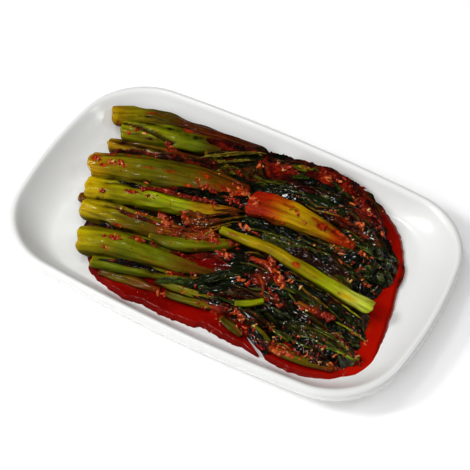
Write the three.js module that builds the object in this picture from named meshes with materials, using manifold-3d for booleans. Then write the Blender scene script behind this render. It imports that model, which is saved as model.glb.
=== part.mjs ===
// Mustard-leaf kimchi on its oval-cornered white plate.
// Millimetres, +Z up. Origin: on the table, under the middle of the plate.
// +X runs along the plate, towards the leafy end of the bundle.

import * as THREE from 'three';
import { mergeVertices } from 'three/addons/utils/BufferGeometryUtils.js';
import Module from 'manifold-3d';

const wasm = await Module();
wasm.setup();

// ---------------------------------------------------------------- driving sizes

const gap = 0.34; // clearance kept between touching pieces

const plate = {
  halfLength: 120,
  halfWidth: 74.4,
  cornerRadius: 41.5,
  swell: [9, 4.2], // degrees by which each end and each side has turned where its corner starts
  height: 18,
  floorTop: 6,
  lip: 4.5, // thickness of the rounded rim
  wallRun: [25, 14.4], // floor edge to rim edge, at the ends and at the sides
  footInset: [31, 21],
  footWidth: 5,
  recess: 1.8, // underside inside the foot ring
  stepsAround: 56,
};

const sauce = { level: 8.2, bed: plate.floorTop + gap };

const heap = {
  bottom: sauce.level + gap,
  centre: [34, 6],
  low: 9.9, // top of the leaves at the thin edges
  rise: 7.2, // and how much higher they stand in the middle
  ridge: 0.75, // wrinkles along the leaves
  ridgePitch: 9,
  stepsAround: 54,
};

// Points on the outline of the leaf heap, from its right end over the far side to the near side.
const heapOutline = [
  [90, 18], [83, 33], [69, 49], [59, 59], [46, 65], [28, 65.5], [7, 62], [-16, 57.5], [-33, 52],
  [-40, 36], [-37, 24], [-47, 11], [-34, 1], [-29, -12], [-26, -30], [-12, -42], [8, -47.5], [30, -49], [51, -53],
  [76, -51], [93, -45.5], [95.5, -31], [88, -12], [85, 3],
];

// Points on the shore of the red liquid, from the right over the far side.
const sauceOutline = [
  [96, -2], [91, 19], [84, 36], [72, 52], [58, 60], [30, 62], [-5, 60], [-38, 56], [-50, 30],
  [-56, 2], [-62, -24], [-65, -44], [-58, -54], [-46, -58.5], [-31, -61.5], [-21, -60], [-8, -60.5],
  [4, -59.5], [16, -57], [22, -59], [36, -59], [46, -58.5], [38, -53.2], [42, -52.6], [51, -57.6],
  [66, -59], [80, -55.5], [94, -47.5], [102, -41.5], [99.5, -24],
];

const colours = {
  porcelain: 0xf0f2f1, sauce: 0x7d0a04, leaf: 0x1a2410, chili: 0xb3200c,
  green: 0x6d8010, olive: 0x5f5f14, yellowGreen: 0x94951c, brown: 0x5a3310, red: 0x6e0d08,
};

// Petioles and stems. Paths follow the middle of each piece. Widths and thicknesses are whole
// sizes, spread evenly from the first end to the last. `groove` is the depth of the channel on
// top as a share of the thickness, `cut` tilts the first and last cut. `flakes` puts chili flakes
// on top: [share of the length, side from -1 to 1, size].
// The list runs from what lies on top to what lies under it, and each piece makes room for
// those above it.
const stalks = [
  {
    name: 'stalk_crossing', colour: 'yellowGreen',
    path: [[-7, -5, 19], [15, -5, 21.2], [45, -9, 21], [86, -11.5, 15]],
    width: [4.6, 7, 8.6, 10.5], thick: [4, 6, 7, 7.4], groove: 0.1, cut: [0, 0.9], steps: 11,
    flakes: [[0.22, 0.2, 2.6], [0.34, -0.3, 2.2], [0.47, 0.4, 2.0]],
  },
  {
    name: 'midrib_red', colour: 'yellowGreen',
    path: [[-2, 20, 19.6], [19, 22, 20.3], [42, 25, 19], [65, 27, 15.6]],
    width: [12.5, 16.8, 14, 5], thick: [7, 9, 7.6, 3.4], groove: 0, cut: [0, 0], steps: 9,
    flakes: [[0.66, 0.2, 3.2], [0.7, -0.25, 2.6], [0.74, 0.05, 2.4], [0.84, 0, 2.2]],
  },
  {
    name: 'chili_strip', colour: 'chili',
    path: [[17, -11.6, 17], [28, -12.4, 18], [38, -20, 16.2]],
    width: [3.6, 4.6, 3], thick: [2.4, 2.8, 2], groove: 0, cut: [0.5, 0.5], steps: 6,
  },
  {
    name: 'chili_strip_thin', colour: 'red',
    path: [[26, -19, 16.4], [31, -24, 15.8], [33, -29, 14.8]],
    width: [2.4, 3, 2.2], thick: [2, 2.2, 1.8], groove: 0, cut: [0.5, 0.5], steps: 5,
  },
  {
    name: 'strip_far_red', colour: 'chili',
    path: [[8, 54.4, 18.6], [25, 56.4, 19], [42, 58, 18]],
    width: [3.4, 4, 3], thick: [2.4, 2.6, 2], groove: 0, cut: [0, 0], steps: 6,
  },
  {
    name: 'stem_orange', colour: 'chili',
    path: [[51, -24, 15.4], [62, -24.5, 15], [73, -23, 13.6]],
    width: [3, 3.4, 2.4], thick: [2.6, 2.8, 2.2], groove: 0, cut: [0.3, 0.3], steps: 5,
  },
  {
    name: 'stem_cut_short', colour: 'yellowGreen',
    path: [[22, -39.5, 12.8], [29, -36, 13.6], [35.5, -31, 14.2]],
    width: [3.6, 4.4, 4], thick: [3.2, 3.6, 3.2], groove: 0, cut: [0, 0.4], steps: 5,
  },
  {
    name: 'stem_far_thin', colour: 'olive',
    path: [[-42, 41, 14.6], [-26, 48, 15], [-9, 54, 16.4]],
    width: [3.4, 4.2, 3.2], thick: [2.8, 3.2, 2.4], groove: 0.15, cut: [0, 0], steps: 6,
  },
  {
    name: 'petiole_curved', colour: 'olive',
    path: [[-40, -23.4, 13.4], [-20, -20.5, 14.4], [-4, -12, 15], [8, -1.5, 14.4]],
    width: [5, 8, 7.4, 4], thick: [4, 6, 5.4, 3], groove: 0.12, cut: [0, 0], steps: 8,
    flakes: [[0.3, 0.6, 3], [0.5, 0.7, 3.2], [0.62, 0.5, 2.6]],
  },
  {
    name: 'stalk_stained', colour: 'olive',
    path: [[-94, 4, 13], [-69, 15, 13.1], [-35, 25, 14], [-5, 28.5, 14.6]],
    width: [14, 16.4, 15, 9], thick: [12, 12.4, 11, 7], groove: 0.1, cut: [-0.35, 0], steps: 10,
    flakes: [[0.05, 0.4, 3.4], [0.08, 0.75, 3], [0.13, 0.1, 3.4], [0.2, 0.2, 3.6], [0.25, 0.05, 3],
      [0.62, 0.3, 2.8], [0.68, -0.2, 2.6]],
  },
  {
    name: 'stalk_far_channelled', colour: 'green',
    path: [[-92, 34, 12.6], [-71, 41, 12.8], [-48, 46.5, 12.8], [-22, 52.5, 13.8]],
    width: [14, 16, 12, 5], thick: [11, 11, 8.4, 4], groove: 0.3, cut: [-0.3, 0], steps: 10,
    flakes: [[0.1, 0.15, 2.6], [0.16, -0.05, 3], [0.24, 0, 2.8], [0.31, -0.05, 2.6],
      [0.4, 0.5, 2.6]],
  },
  {
    name: 'stalk_far', colour: 'olive',
    path: [[-100.5, 41, 13.4], [-80, 50.6, 13], [-53, 53.8, 14], [-11, 58, 16.4]],
    width: [12, 11, 8, 4], thick: [9.6, 9, 7, 3], groove: 0, cut: [-0.3, 0], steps: 9,
  },
  {
    name: 'stalk_middle', colour: 'green',
    path: [[-86, -10.4, 12.2], [-59, -1.4, 12.2], [-30, 4, 13.4], [-3, 13, 15]],
    width: [15, 15.6, 11.4, 6], thick: [11.4, 11.2, 9, 5], groove: 0.24, cut: [-0.3, 0], steps: 10,
    flakes: [[0.12, 0.1, 3.2], [0.33, 0.5, 3.4], [0.38, 0.4, 3], [0.55, 0.5, 3]],
  },
  {
    name: 'stalk_low', colour: 'olive',
    path: [[-81.4, -22.9, 11.4], [-61, -19.3, 11.4], [-38, -16, 11.8], [-17, -11, 11.6]],
    width: [11.5, 15.5, 13, 7], thick: [9, 9.8, 8, 5], groove: 0.24, cut: [-0.3, 0], steps: 9,
    flakes: [[0.3, 0.35, 2.8], [0.6, 0.3, 3.2], [0.7, 0.5, 3.6], [0.8, 0.2, 3.2]],
  },
  {
    name: 'stalk_far_stub', colour: 'brown',
    path: [[-94.5, 23, 10.1], [-65, 31.5, 10.1], [-40, 38, 10.8]],
    width: [8.4, 8.4, 5], thick: [7.4, 7.4, 5], groove: 0, cut: [-0.3, 0], steps: 7,
  },
  {
    name: 'stalk_near', colour: 'green',
    path: [[-71.4, -43.6, 13.1], [-50, -36.5, 13.1], [-20, -31.5, 12.4], [9, -25.5, 11.4]],
    width: [16.5, 18, 13, 4], thick: [13, 13, 9, 3.4], groove: 0.06, cut: [-0.3, 0], steps: 11,
    flakes: [[0.2, 0.35, 3], [0.26, 0.45, 3.2], [0.24, -0.1, 3], [0.4, 0.5, 3]],
  },
  {
    name: 'stalk_front', colour: 'green',
    path: [[-59.5, -51, 10.4], [-39, -45, 10.4], [-16, -38.4, 10.4], [3, -32.5, 11]],
    width: [8, 8.6, 6.4, 3.6], thick: [5.4, 5.4, 4.4, 3], groove: 0.1, cut: [-0.3, 0], steps: 9,
  },
  {
    name: 'stalk_front_sunk', colour: 'brown',
    path: [[-53, -54, 9.4], [-36, -51, 9.4], [-17, -48.6, 9.6]],
    width: [4.4, 5.6, 3.6], thick: [3, 3.2, 2.8], groove: 0, cut: [0, 0], steps: 6,
  },
  {
    name: 'stem_front_upper', colour: 'green',
    path: [[-23, -45.4, 10.2], [-5, -43.6, 10.5], [13.5, -40.6, 10.8]],
    width: [3.6, 4.8, 3.4], thick: [3, 3.6, 3], groove: 0.12, cut: [0, 0.3], steps: 6,
  },
  {
    name: 'stem_front_lower', colour: 'green',
    path: [[-15, -50, 10.1], [3, -47.6, 10.4], [20.5, -43.2, 10.8]],
    width: [3.4, 4.6, 3.4], thick: [3, 3.4, 3], groove: 0.12, cut: [0, 0.3], steps: 6,
  },
  {
    name: 'stem_right_green', colour: 'green',
    path: [[71, -39.5, 12.6], [84, -40.2, 12], [94.5, -37, 10.4]],
    width: [3, 3.8, 3], thick: [2.6, 3.2, 2.6], groove: 0, cut: [0, 0.3], steps: 5,
  },
  {
    name: 'stem_right_front', colour: 'green',
    path: [[50, -53.4, 10.4], [67, -52, 10.6], [86, -48.6, 10.4]],
    width: [4, 5.6, 4], thick: [3, 3.8, 3], groove: 0, cut: [0, 0], steps: 6,
    flakes: [[0.12, 0, 2.6], [0.9, 0, 2.4]],
  },
  {
    name: 'stem_small', colour: 'yellowGreen',
    path: [[36, -45.6, 11.4], [43, -47.6, 11.2], [49, -50, 10.4]],
    width: [2.4, 3, 2.4], thick: [2.2, 2.6, 2.2], groove: 0, cut: [0.3, 0.3], steps: 4,
  },
  {
    name: 'stem_brown', colour: 'brown',
    path: [[19, -49, 10.1], [27, -51, 10.1], [35, -53.5, 9.9]],
    width: [4, 5.4, 3], thick: [2.8, 3, 2.4], groove: 0, cut: [0, 0], steps: 4,
  },
  {
    name: 'leaf_scrap_left', colour: 'red',
    path: [[-87, -16, 9.8], [-82.5, -15, 9.4], [-78, -14.4, 8.4]],
    width: [4, 6, 3], thick: [2.2, 2, 2], groove: 0, cut: [0, 0], steps: 4,
  },
];

const flowAngle = [17, -9]; // heading of the leaves, in degrees, at the left and the right end

// Folded leaves fused on the heap: rows across it, at each x the y of every leaf.
const folds = {
  length: 42, width: 14, along: 5, across: 3,
  profile: [-0.8, 1.5, 0.9, -0.8], // height over the heap across the leaf
  rows: [[-8, [-37, 41]], [20, [-22, 8, 45]], [47, [-46, -33, 7, 44]],
    [70, [-44, -28, 4, 20, 36]]],
};
const scatter = { count: 20, size: 2.9, seed: 11 };

// ------------------------------------------------------------------- small tools

const lerp = THREE.MathUtils.lerp;
const smooth = THREE.MathUtils.smoothstep;

function seeded(seed) {
  let state = seed;
  return () => {
    state = (state * 1664525 + 1013904223) % 4294967296;
    return state / 4294967296;
  };
}

// A value spread evenly over a list, read at share t of its length.
function along(list, t) {
  const place = t * (list.length - 1);
  const k = Math.min(Math.floor(place), list.length - 2);
  return lerp(list[k], list[k + 1], smooth(place - k, 0, 1));
}

// Joins shared vertices, drops collapsed triangles and turns the faces outwards.
function closed(geometry) {
  geometry.deleteAttribute('normal');
  geometry.deleteAttribute('uv');
  const merged = mergeVertices(geometry, 1e-4);
  const index = merged.index.array;
  const kept = [];
  for (let k = 0; k < index.length; k += 3) {
    const [a, b, c] = [index[k], index[k + 1], index[k + 2]];
    if (a !== b && b !== c && c !== a) kept.push(a, b, c);
  }
  const place = merged.attributes.position;
  const corner = [new THREE.Vector3(), new THREE.Vector3(), new THREE.Vector3()];
  let volume = 0;
  for (let k = 0; k < kept.length; k += 3) {
    corner.forEach((v, n) => v.fromBufferAttribute(place, kept[k + n]));
    volume += corner[0].dot(corner[1].cross(corner[2]));
  }
  if (volume < 0) kept.reverse();
  merged.setIndex(kept);
  return merged;
}

function toSolid(geometry) {
  const ready = closed(geometry);
  return new wasm.Manifold(new wasm.Mesh({
    numProp: 3,
    vertProperties: new Float32Array(ready.attributes.position.array),
    triVerts: new Uint32Array(ready.index.array),
  }));
}

// The largest connected body of a solid, as three.js geometry. Loose scraps are dropped.
function toGeometry(solid) {
  const bodies = solid.decompose();
  const mesh = bodies.reduce((a, b) => (b.volume() > a.volume() ? b : a)).getMesh();
  const geometry = new THREE.BufferGeometry();
  geometry.setAttribute('position', new THREE.BufferAttribute(mesh.vertProperties, 3));
  geometry.setIndex(new THREE.BufferAttribute(mesh.triVerts, 1));
  return geometry;
}

// A turned solid whose rings are remapped: place(step, row) gives the corner of each ring.
function ringed(rows, steps, place) {
  const profile = rows.map((row, k) => new THREE.Vector2(row.onAxis ? 0 : 1, k));
  const lathe = new THREE.LatheGeometry(profile, steps);
  const corners = lathe.attributes.position;
  for (let k = 0; k < corners.count; k++) {
    const step = Math.floor(k / rows.length) % steps;
    corners.setXYZ(k, ...place(step, rows[k % rows.length]));
  }
  return lathe;
}

function smoothLoop(points) {
  const corners = points.map(([x, y]) => new THREE.Vector3(x, y, 0));
  return new THREE.CatmullRomCurve3(corners, true, 'centripetal');
}

// ------------------------------------------------------------------------- plate

// A point on one quarter of a ring, share 0 at the end's middle and 1 at the side's middle.
// Ends and sides swell gently, and the corner arcs meet them without a kink.
function plateQuarter(share, halfX, halfY, radius) {
  const [endTurn, sideTurn] = plate.swell.map(THREE.MathUtils.degToRad);
  let [centreX, centreY] = [halfX - radius, halfY - radius];
  for (let pass = 0; pass < 8; pass++) {
    const endReach = centreY + radius * Math.sin(endTurn);
    const sideReach = centreX + radius * Math.sin(sideTurn);
    centreX = halfX - radius * Math.cos(endTurn) - (endReach * Math.tan(endTurn)) / 2;
    centreY = halfY - radius * Math.cos(sideTurn) - (sideReach * Math.tan(sideTurn)) / 2;
  }
  const endReach = centreY + radius * Math.sin(endTurn);
  const sideReach = centreX + radius * Math.sin(sideTurn);
  if (share < 0.2) {
    const y = endReach * (share / 0.2);
    return [halfX - (y * y * Math.tan(endTurn)) / (2 * endReach), y];
  }
  if (share > 0.7) {
    const x = sideReach * ((1 - share) / 0.3);
    return [x, halfY - (x * x * Math.tan(sideTurn)) / (2 * sideReach)];
  }
  const turn = lerp(endTurn, Math.PI / 2 - sideTurn, (share - 0.2) / 0.5);
  return [centreX + radius * Math.cos(turn), centreY + radius * Math.sin(turn)];
}

function plateRing(step, row) {
  if (row.onAxis) return [0, 0, row.z];
  const quarterSteps = plate.stepsAround / 4;
  const quarter = Math.floor(step / quarterSteps);
  const share = (step % quarterSteps) / quarterSteps;
  const radius = plate.cornerRadius - 0.46 * row.inset[0];
  const half = [plate.halfLength - row.inset[0], plate.halfWidth - row.inset[1]];
  const mirrored = quarter % 2 === 1;
  const [x, y] = plateQuarter(mirrored ? 1 - share : share, half[0], half[1], radius);
  const signX = quarter === 1 || quarter === 2 ? -1 : 1;
  const signY = quarter >= 2 ? -1 : 1;
  return [signX * x, signY * y, row.z];
}

function plateRows() {
  const { height, floorTop, lip, wallRun, footInset, footWidth, recess } = plate;
  const rows = [{ onAxis: true, z: floorTop }];
  const lipInside = height - 1.1;
  for (const t of [0, 0.35, 0.62, 0.84, 1]) {
    const inset = wallRun.map((run) => lerp(run, lip, t));
    rows.push({ inset, z: floorTop + (lipInside - floorTop) * t ** 1.7 });
  }
  rows.push({ inset: [2.7, 2.7], z: height });
  rows.push({ inset: [1.2, 1.2], z: height - 0.3 });
  rows.push({ inset: [0, 0], z: height - 2.2 });
  rows.push({ inset: [1.3, 1.1], z: 10.8 });
  rows.push({ inset: [6, 4.5], z: 6 });
  rows.push({ inset: [17, 11.5], z: 2.6 });
  rows.push({ inset: footInset.map((d) => d - 1), z: 1.5 });
  rows.push({ inset: footInset, z: 0 });
  rows.push({ inset: footInset.map((d) => d + footWidth), z: 0 });
  rows.push({ inset: footInset.map((d) => d + footWidth + 1), z: recess });
  rows.push({ onAxis: true, z: recess });
  return rows;
}

function plateSolid(lift = 0) {
  const geometry = ringed(plateRows(), plate.stepsAround, plateRing);
  return toSolid(geometry.translate(0, 0, lift));
}

// ------------------------------------------------------------------------ stalks

// Maps a unit cylinder onto a curved, tapering and channelled stalk.
function stalkFrame(stalk, t, grow) {
  const curve = new THREE.CatmullRomCurve3(
    stalk.path.map((p) => new THREE.Vector3(...p)), false, 'centripetal');
  const tangent = curve.getTangent(t);
  const side = new THREE.Vector3(0, 0, 1).cross(tangent).normalize();
  const up = tangent.clone().cross(side);
  return {
    middle: curve.getPoint(t), tangent, side, up,
    halfWidth: along(stalk.width, t) / 2 + grow,
    halfThick: along(stalk.thick, t) / 2 + grow,
  };
}

// A point of the stalk: t along it, u across and v up, both inside the unit circle.
function stalkPoint(stalk, t, u, v, grow = 0) {
  const f = stalkFrame(stalk, t, grow);
  const channel = stalk.groove * Math.exp(-((u / 0.3) ** 2)) * Math.max(v, 0);
  const height = (v - channel) * f.halfThick;
  const endTilt = t < 0.5 ? stalk.cut[0] * (1 - smooth(t, 0, 0.2)) : stalk.cut[1] * smooth(t, 0.8, 1);
  const outwards = t < 0.01 ? -grow : t > 0.99 ? grow : 0;
  return f.middle.clone()
    .addScaledVector(f.side, u * f.halfWidth)
    .addScaledVector(f.up, height)
    .addScaledVector(f.tangent, endTilt * height + outwards);
}

function isThin(stalk) {
  return Math.max(...stalk.width) <= 6;
}

function flakeSolid(stalk, [t, u, size], grow) {
  const half = size / 2 + grow;
  const place = stalkPoint(stalk, t, u, Math.sqrt(1 - u * u));
  const flake = new THREE.OctahedronGeometry(1, 0);
  flake.scale(half * 1.15, half * 0.85, half * 0.55);
  flake.rotateZ(t * 40);
  flake.translate(place.x, place.y, place.z + 0.1);
  return toSolid(flake);
}

function stalkBody(stalk, sides, steps, grow) {
  const body = new THREE.CylinderGeometry(1, 1, 1, sides, steps);
  const corners = body.attributes.position;
  for (let k = 0; k < corners.count; k++) {
    const t = THREE.MathUtils.clamp(0.5 - corners.getY(k), 0, 1);
    corners.setXYZ(k, ...stalkPoint(stalk, t, corners.getX(k), corners.getZ(k), grow));
  }
  return toSolid(body);
}

function withFlakes(body, stalk, grow) {
  return (stalk.flakes ?? []).reduce((sum, flake) => sum.add(flakeSolid(stalk, flake, grow)), body);
}

function stalkSolid(stalk) {
  return withFlakes(stalkBody(stalk, isThin(stalk) ? 8 : 12, stalk.steps, 0), stalk, 0);
}

// The room a stalk needs: a coarser and fatter copy of it.
function stalkRoom(stalk) {
  const sides = isThin(stalk) ? 6 : 12;
  const slack = isThin(stalk) ? 0.08 * Math.max(...stalk.width) : 0;
  return withFlakes(stalkBody(stalk, sides, isThin(stalk) ? 3 : stalk.steps, gap + slack), stalk, gap);
}

// --------------------------------------------------------------------- leaf heap

function heapTop(x, y) {
  const right = 1 - 0.85 * smooth(x, 45, 95);
  const left = 0.45 + 0.55 * smooth(x, -45, -5);
  const near = smooth(y, -48, -12);
  return heap.low + heap.rise * right * left * near;
}

function flow(x) {
  return THREE.MathUtils.degToRad(lerp(flowAngle[0], flowAngle[1], smooth(x, -40, 90)));
}

function wrinkle(x, y) {
  const turn = flow(x);
  const across = y * Math.cos(turn) - (x - 30) * Math.sin(turn);
  const wave = Math.sin((across / heap.ridgePitch) * 2 * Math.PI + 1.4 * Math.sin(x / 11));
  return heap.ridge * wave * (0.7 + 0.3 * Math.sin(x / 7 + y / 5));
}

function heapCore() {
  const outline = smoothLoop(heapOutline);
  const rows = [{ onAxis: true, side: 'under' }, { size: 0.985, side: 'under' }];
  rows.push({ size: 1, side: 'edge' });
  for (const size of [0.955, 0.87, 0.75, 0.6, 0.42, 0.22]) rows.push({ size, side: 'top' });
  rows.push({ onAxis: true, size: 0, side: 'top' });
  const geometry = ringed(rows, heap.stepsAround, (step, row) => {
    const shore = outline.getPoint(step / heap.stepsAround);
    const size = row.onAxis ? 0 : row.size;
    const ragged = 1 - (row.side === 'under' ? 0 : 0.012 * (1 + Math.sin(step * 2.4)) * size);
    const x = lerp(heap.centre[0], shore.x, size * ragged);
    const y = lerp(heap.centre[1], shore.y, size * ragged);
    if (row.side === 'under') return [x, y, heap.bottom];
    const edge = smooth(1 - size, 0, 0.16);
    const full = heapTop(x, y) + wrinkle(x, y) * smooth(1 - size, 0, 0.1);
    const rim = Math.max(heap.bottom + 1.2, full - 2.2 - 1.5 * (1 - smooth(y, 30, 50)));
    return [x, y, lerp(rim, full, edge)];
  });
  return toSolid(geometry);
}

// One folded leaf: a wavy top that narrows to both ends, and a base inside the heap.
function leafFold(spot) {
  const leaf = new THREE.BoxGeometry(1, 1, 1, folds.along, folds.across, 1);
  const corners = leaf.attributes.position;
  const turn = flow(spot.x) + spot.turn;
  for (let k = 0; k < corners.count; k++) {
    const [s, w] = [corners.getX(k), corners.getY(k)];
    const narrow = 1 - 0.7 * Math.abs(2 * s) ** 3;
    const run = s * spot.length;
    const off = w * spot.width * narrow + 1.2 * Math.sin(5 * s + spot.phase);
    const x = spot.x + run * Math.cos(turn) - off * Math.sin(turn);
    const y = spot.y + run * Math.sin(turn) + off * Math.cos(turn);
    const crest = along(folds.profile, w + 0.5) * (1 + 0.4 * Math.sin(7 * s + spot.phase));
    const top = heapTop(x, y) + spot.lift + crest - 1.8 * (2 * s) ** 2;
    corners.setXYZ(k, x, y, corners.getZ(k) > 0 ? top : Math.max(top - 4, heap.bottom + 0.1));
  }
  return toSolid(leaf);
}

function heapFolds() {
  const random = seeded(5);
  return folds.rows.flatMap(([x, ys]) => ys.map((y, k) => leafFold({
    x: x + 4 * (k % 2) + 3 * random(),
    y,
    turn: 0.24 * (random() - 0.5),
    length: folds.length * (x > 60 ? 0.6 : 1) * (0.85 + 0.3 * random()),
    width: folds.width * (0.85 + 0.3 * random()),
    lift: 0.2 + 0.8 * random(),
    phase: 6 * random(),
  })));
}

// Chili flakes, garlic bits and seeds scattered over the leaves.
function heapFlakes() {
  const random = seeded(scatter.seed);
  const outline = smoothLoop(heapOutline);
  const flakes = [];
  for (let k = 0; k < scatter.count; k++) {
    const shore = outline.getPoint((k * 0.618) % 1);
    const reach = 0.25 + 0.66 * Math.sqrt(random());
    const x = lerp(heap.centre[0], shore.x, reach);
    const y = lerp(heap.centre[1], shore.y, reach);
    const half = (scatter.size * (0.7 + 0.6 * random())) / 2;
    const flake = new THREE.OctahedronGeometry(1, 0);
    flake.scale(half * 1.2, half * 0.85, half * 0.7);
    flake.rotateZ(random() * Math.PI);
    flake.translate(x, y, heapTop(x, y) + wrinkle(x, y) + 0.35 * half);
    flakes.push(toSolid(flake));
  }
  return flakes;
}

// ------------------------------------------------------------------------- sauce

function sauceSolid() {
  const shore = smoothLoop(sauceOutline).getPoints(80).slice(0, -1);
  const outline = new THREE.Shape(shore.map((p) => new THREE.Vector2(p.x, p.y)));
  const depth = sauce.level - sauce.bed;
  const pool = new THREE.ExtrudeGeometry(outline, { depth, bevelEnabled: false, steps: 1 });
  return toSolid(pool.translate(0, 0, sauce.bed));
}

// ---------------------------------------------------------------------- assembly

const kimchi = new THREE.Group();

function addNode(name, geometry, colour, roughness) {
  const material = new THREE.MeshStandardMaterial({ color: colour, roughness, metalness: 0 });
  const mesh = new THREE.Mesh(geometry, material);
  mesh.name = name;
  kimchi.add(mesh);
}

function overlaps(a, b) {
  const [p, q] = [a.boundingBox(), b.boundingBox()];
  return [0, 1, 2].every((k) => p.min[k] < q.max[k] && q.min[k] < p.max[k]);
}

function makeRoom(solid, others) {
  return others.reduce((left, other) => (overlaps(left, other) ? left.subtract(other) : left), solid);
}

const plateWithGap = plateSolid(gap);
const stalksWithGap = stalks.map(stalkRoom);

addNode('plate', toGeometry(plateSolid()), colours.porcelain, 0.15);

stalks.forEach((stalk, k) => {
  const solid = makeRoom(stalkSolid(stalk), [plateWithGap, ...stalksWithGap.slice(0, k)]);
  addNode(stalk.name, toGeometry(solid), colours[stalk.colour], 0.3);
});

const leaves = [...heapFolds(), ...heapFlakes()].reduce((sum, piece) => sum.add(piece), heapCore());
addNode('leaf_heap', toGeometry(makeRoom(leaves, [plateWithGap, ...stalksWithGap])), colours.leaf, 0.25);
addNode('sauce', toGeometry(makeRoom(sauceSolid(), [plateWithGap, ...stalksWithGap])), colours.sauce, 0.1);

export default kimchi;
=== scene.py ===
import math
import random

import bpy
import numpy as np
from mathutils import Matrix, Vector, noise
from mathutils.bvhtree import BVHTree


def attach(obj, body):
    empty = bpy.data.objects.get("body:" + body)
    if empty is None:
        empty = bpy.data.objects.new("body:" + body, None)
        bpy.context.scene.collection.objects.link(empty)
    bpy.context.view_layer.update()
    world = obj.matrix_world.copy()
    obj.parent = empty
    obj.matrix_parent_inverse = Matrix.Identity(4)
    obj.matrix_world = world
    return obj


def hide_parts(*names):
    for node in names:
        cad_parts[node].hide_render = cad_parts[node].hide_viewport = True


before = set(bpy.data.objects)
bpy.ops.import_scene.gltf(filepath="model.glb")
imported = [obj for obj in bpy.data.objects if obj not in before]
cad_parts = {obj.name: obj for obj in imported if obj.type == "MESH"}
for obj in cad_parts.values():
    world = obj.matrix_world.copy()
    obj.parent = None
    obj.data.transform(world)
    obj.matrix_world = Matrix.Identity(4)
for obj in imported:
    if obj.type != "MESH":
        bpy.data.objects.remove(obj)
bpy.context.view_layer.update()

mm = 0.001


def tone(red, green, blue):  # a colour as seen on screen, 0 to 255, made linear
    shares = (red / 255, green / 255, blue / 255)
    return tuple(c / 12.92 if c < 0.04045 else ((c + 0.055) / 1.055) ** 2.4 for c in shares)


def lerp(a, b, t):
    return a + (b - a) * t


def ease(x, low, high):  # 0 below low, 1 above high, smooth in between
    t = np.clip((np.asarray(x, float) - low) / (high - low), 0, 1)
    return t * t * (3 - 2 * t)


def spread(values, t):  # smooth between values spread evenly from 0 to 1
    values = np.array(values, float)
    place = np.clip(t, 0, 1) * (len(values) - 1)
    k = np.minimum(place.astype(int), len(values) - 2)
    share = ease(place - k, 0, 1)
    return lerp(values[k], values[k + 1], share[..., None] if values.ndim > 1 else share)


def grain(points, size, seed=0.0):  # smooth noise from -1 to 1 at points in mm
    size = np.broadcast_to(np.asarray(size, float), (3,))
    flat = (np.asarray(points, float).reshape(-1, 3) / size + seed * 7.31).tolist()
    values = np.array([noise.noise(p) for p in flat])
    return values.reshape(np.asarray(points).shape[:-1])


def grains(points, layers):  # a sum of such noises: size, seed and height of each
    return sum(grain(points, size, seed) * height for size, seed, height in layers)


def unit(vectors):
    return vectors / np.linalg.norm(vectors, axis=1)[:, None]


def lengthOf(points):
    return np.linalg.norm(np.diff(points, axis=0), axis=1).sum()


def threadThrough(points, ts, closed=False):  # a smooth curve through the points
    p = np.array(points, float)
    n = len(p)
    if closed:
        chain = [p[(k - 1) % n] for k in range(n + 3)]
    else:
        chain = [2 * p[0] - p[1]] + list(p) + [2 * p[-1] - p[-2]]
    spans = n if closed else n - 1
    found = []
    for t in ts:
        place = min(max(t, 0), 1) * spans
        k = min(int(place), spans - 1)
        w = place - k
        a, b, c, d = chain[k:k + 4]
        u0, u1, u2 = (max(np.linalg.norm(e) ** 0.5, 1e-4) for e in (b - a, c - b, d - c))
        m1 = ((b - a) / u0 - (c - a) / (u0 + u1) + (c - b) / u1) * u1
        m2 = ((c - b) / u1 - (d - b) / (u1 + u2) + (d - c) / u2) * u1
        found.append(b + m1 * w + (3 * (c - b) - 2 * m1 - m2) * w ** 2
                     + (2 * (b - c) + m1 + m2) * w ** 3)
    return np.array(found)


def planLine(points, count):  # the same in plan, as count + 1 points
    return threadThrough([(*p, 0) for p in points], np.linspace(0, 1, count + 1))[:, :2]


def evenLoop(points, count):  # closed curve, its points the same distance apart
    fine = threadThrough(points, np.linspace(0, 1, 1601), closed=True)
    run = np.r_[0, np.cumsum(np.linalg.norm(np.diff(fine, axis=0), axis=1))]
    marks = np.linspace(0, run[-1], count, endpoint=False)
    return np.stack([np.interp(marks, run, fine[:, k]) for k in range(fine.shape[1])], 1)


def evenRing(points, count):  # the same, with its first point again at the end
    loop = evenLoop(points, count)
    return np.r_[loop, loop[:1]]


def fan(outline, centre, shares):  # x and y of a sheet spread from its centre to its outline
    return np.moveaxis(centre + (outline[None] - centre) * shares[:, None, None], -1, 0)


def deselect():
    if bpy.context.object and bpy.context.object.mode != "OBJECT":
        bpy.ops.object.mode_set(mode="OBJECT")
    bpy.ops.object.select_all(action="DESELECT")


def only(piece):
    deselect()
    piece.select_set(True)
    bpy.context.view_layer.objects.active = piece


def gridSheet(name, along, across):  # a flat grid to be laid somewhere, its u and v
    deselect()
    bpy.ops.mesh.primitive_grid_add(x_subdivisions=along, y_subdivisions=across, size=1)
    piece = bpy.context.object
    piece.name = piece.data.name = name
    return piece


def copied(made):  # a copy with its own mesh
    piece = made.copy()
    piece.data = made.data.copy()
    bpy.context.collection.objects.link(piece)
    return piece


def shape(piece, places):  # places in mm, rows across, points along
    piece.data.vertices.foreach_set("co", (np.asarray(places) * mm).astype("f").ravel())
    piece.data.update()


def setUv(piece, u, v):  # u and v of each vertex
    loops = np.empty(len(piece.data.loops), int)
    piece.data.loops.foreach_get("vertex_index", loops)
    uv = np.stack([np.ravel(u)[loops], np.ravel(v)[loops]], 1)
    piece.data.uv_layers[0].data.foreach_set("uv", uv.astype("f").ravel())


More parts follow.
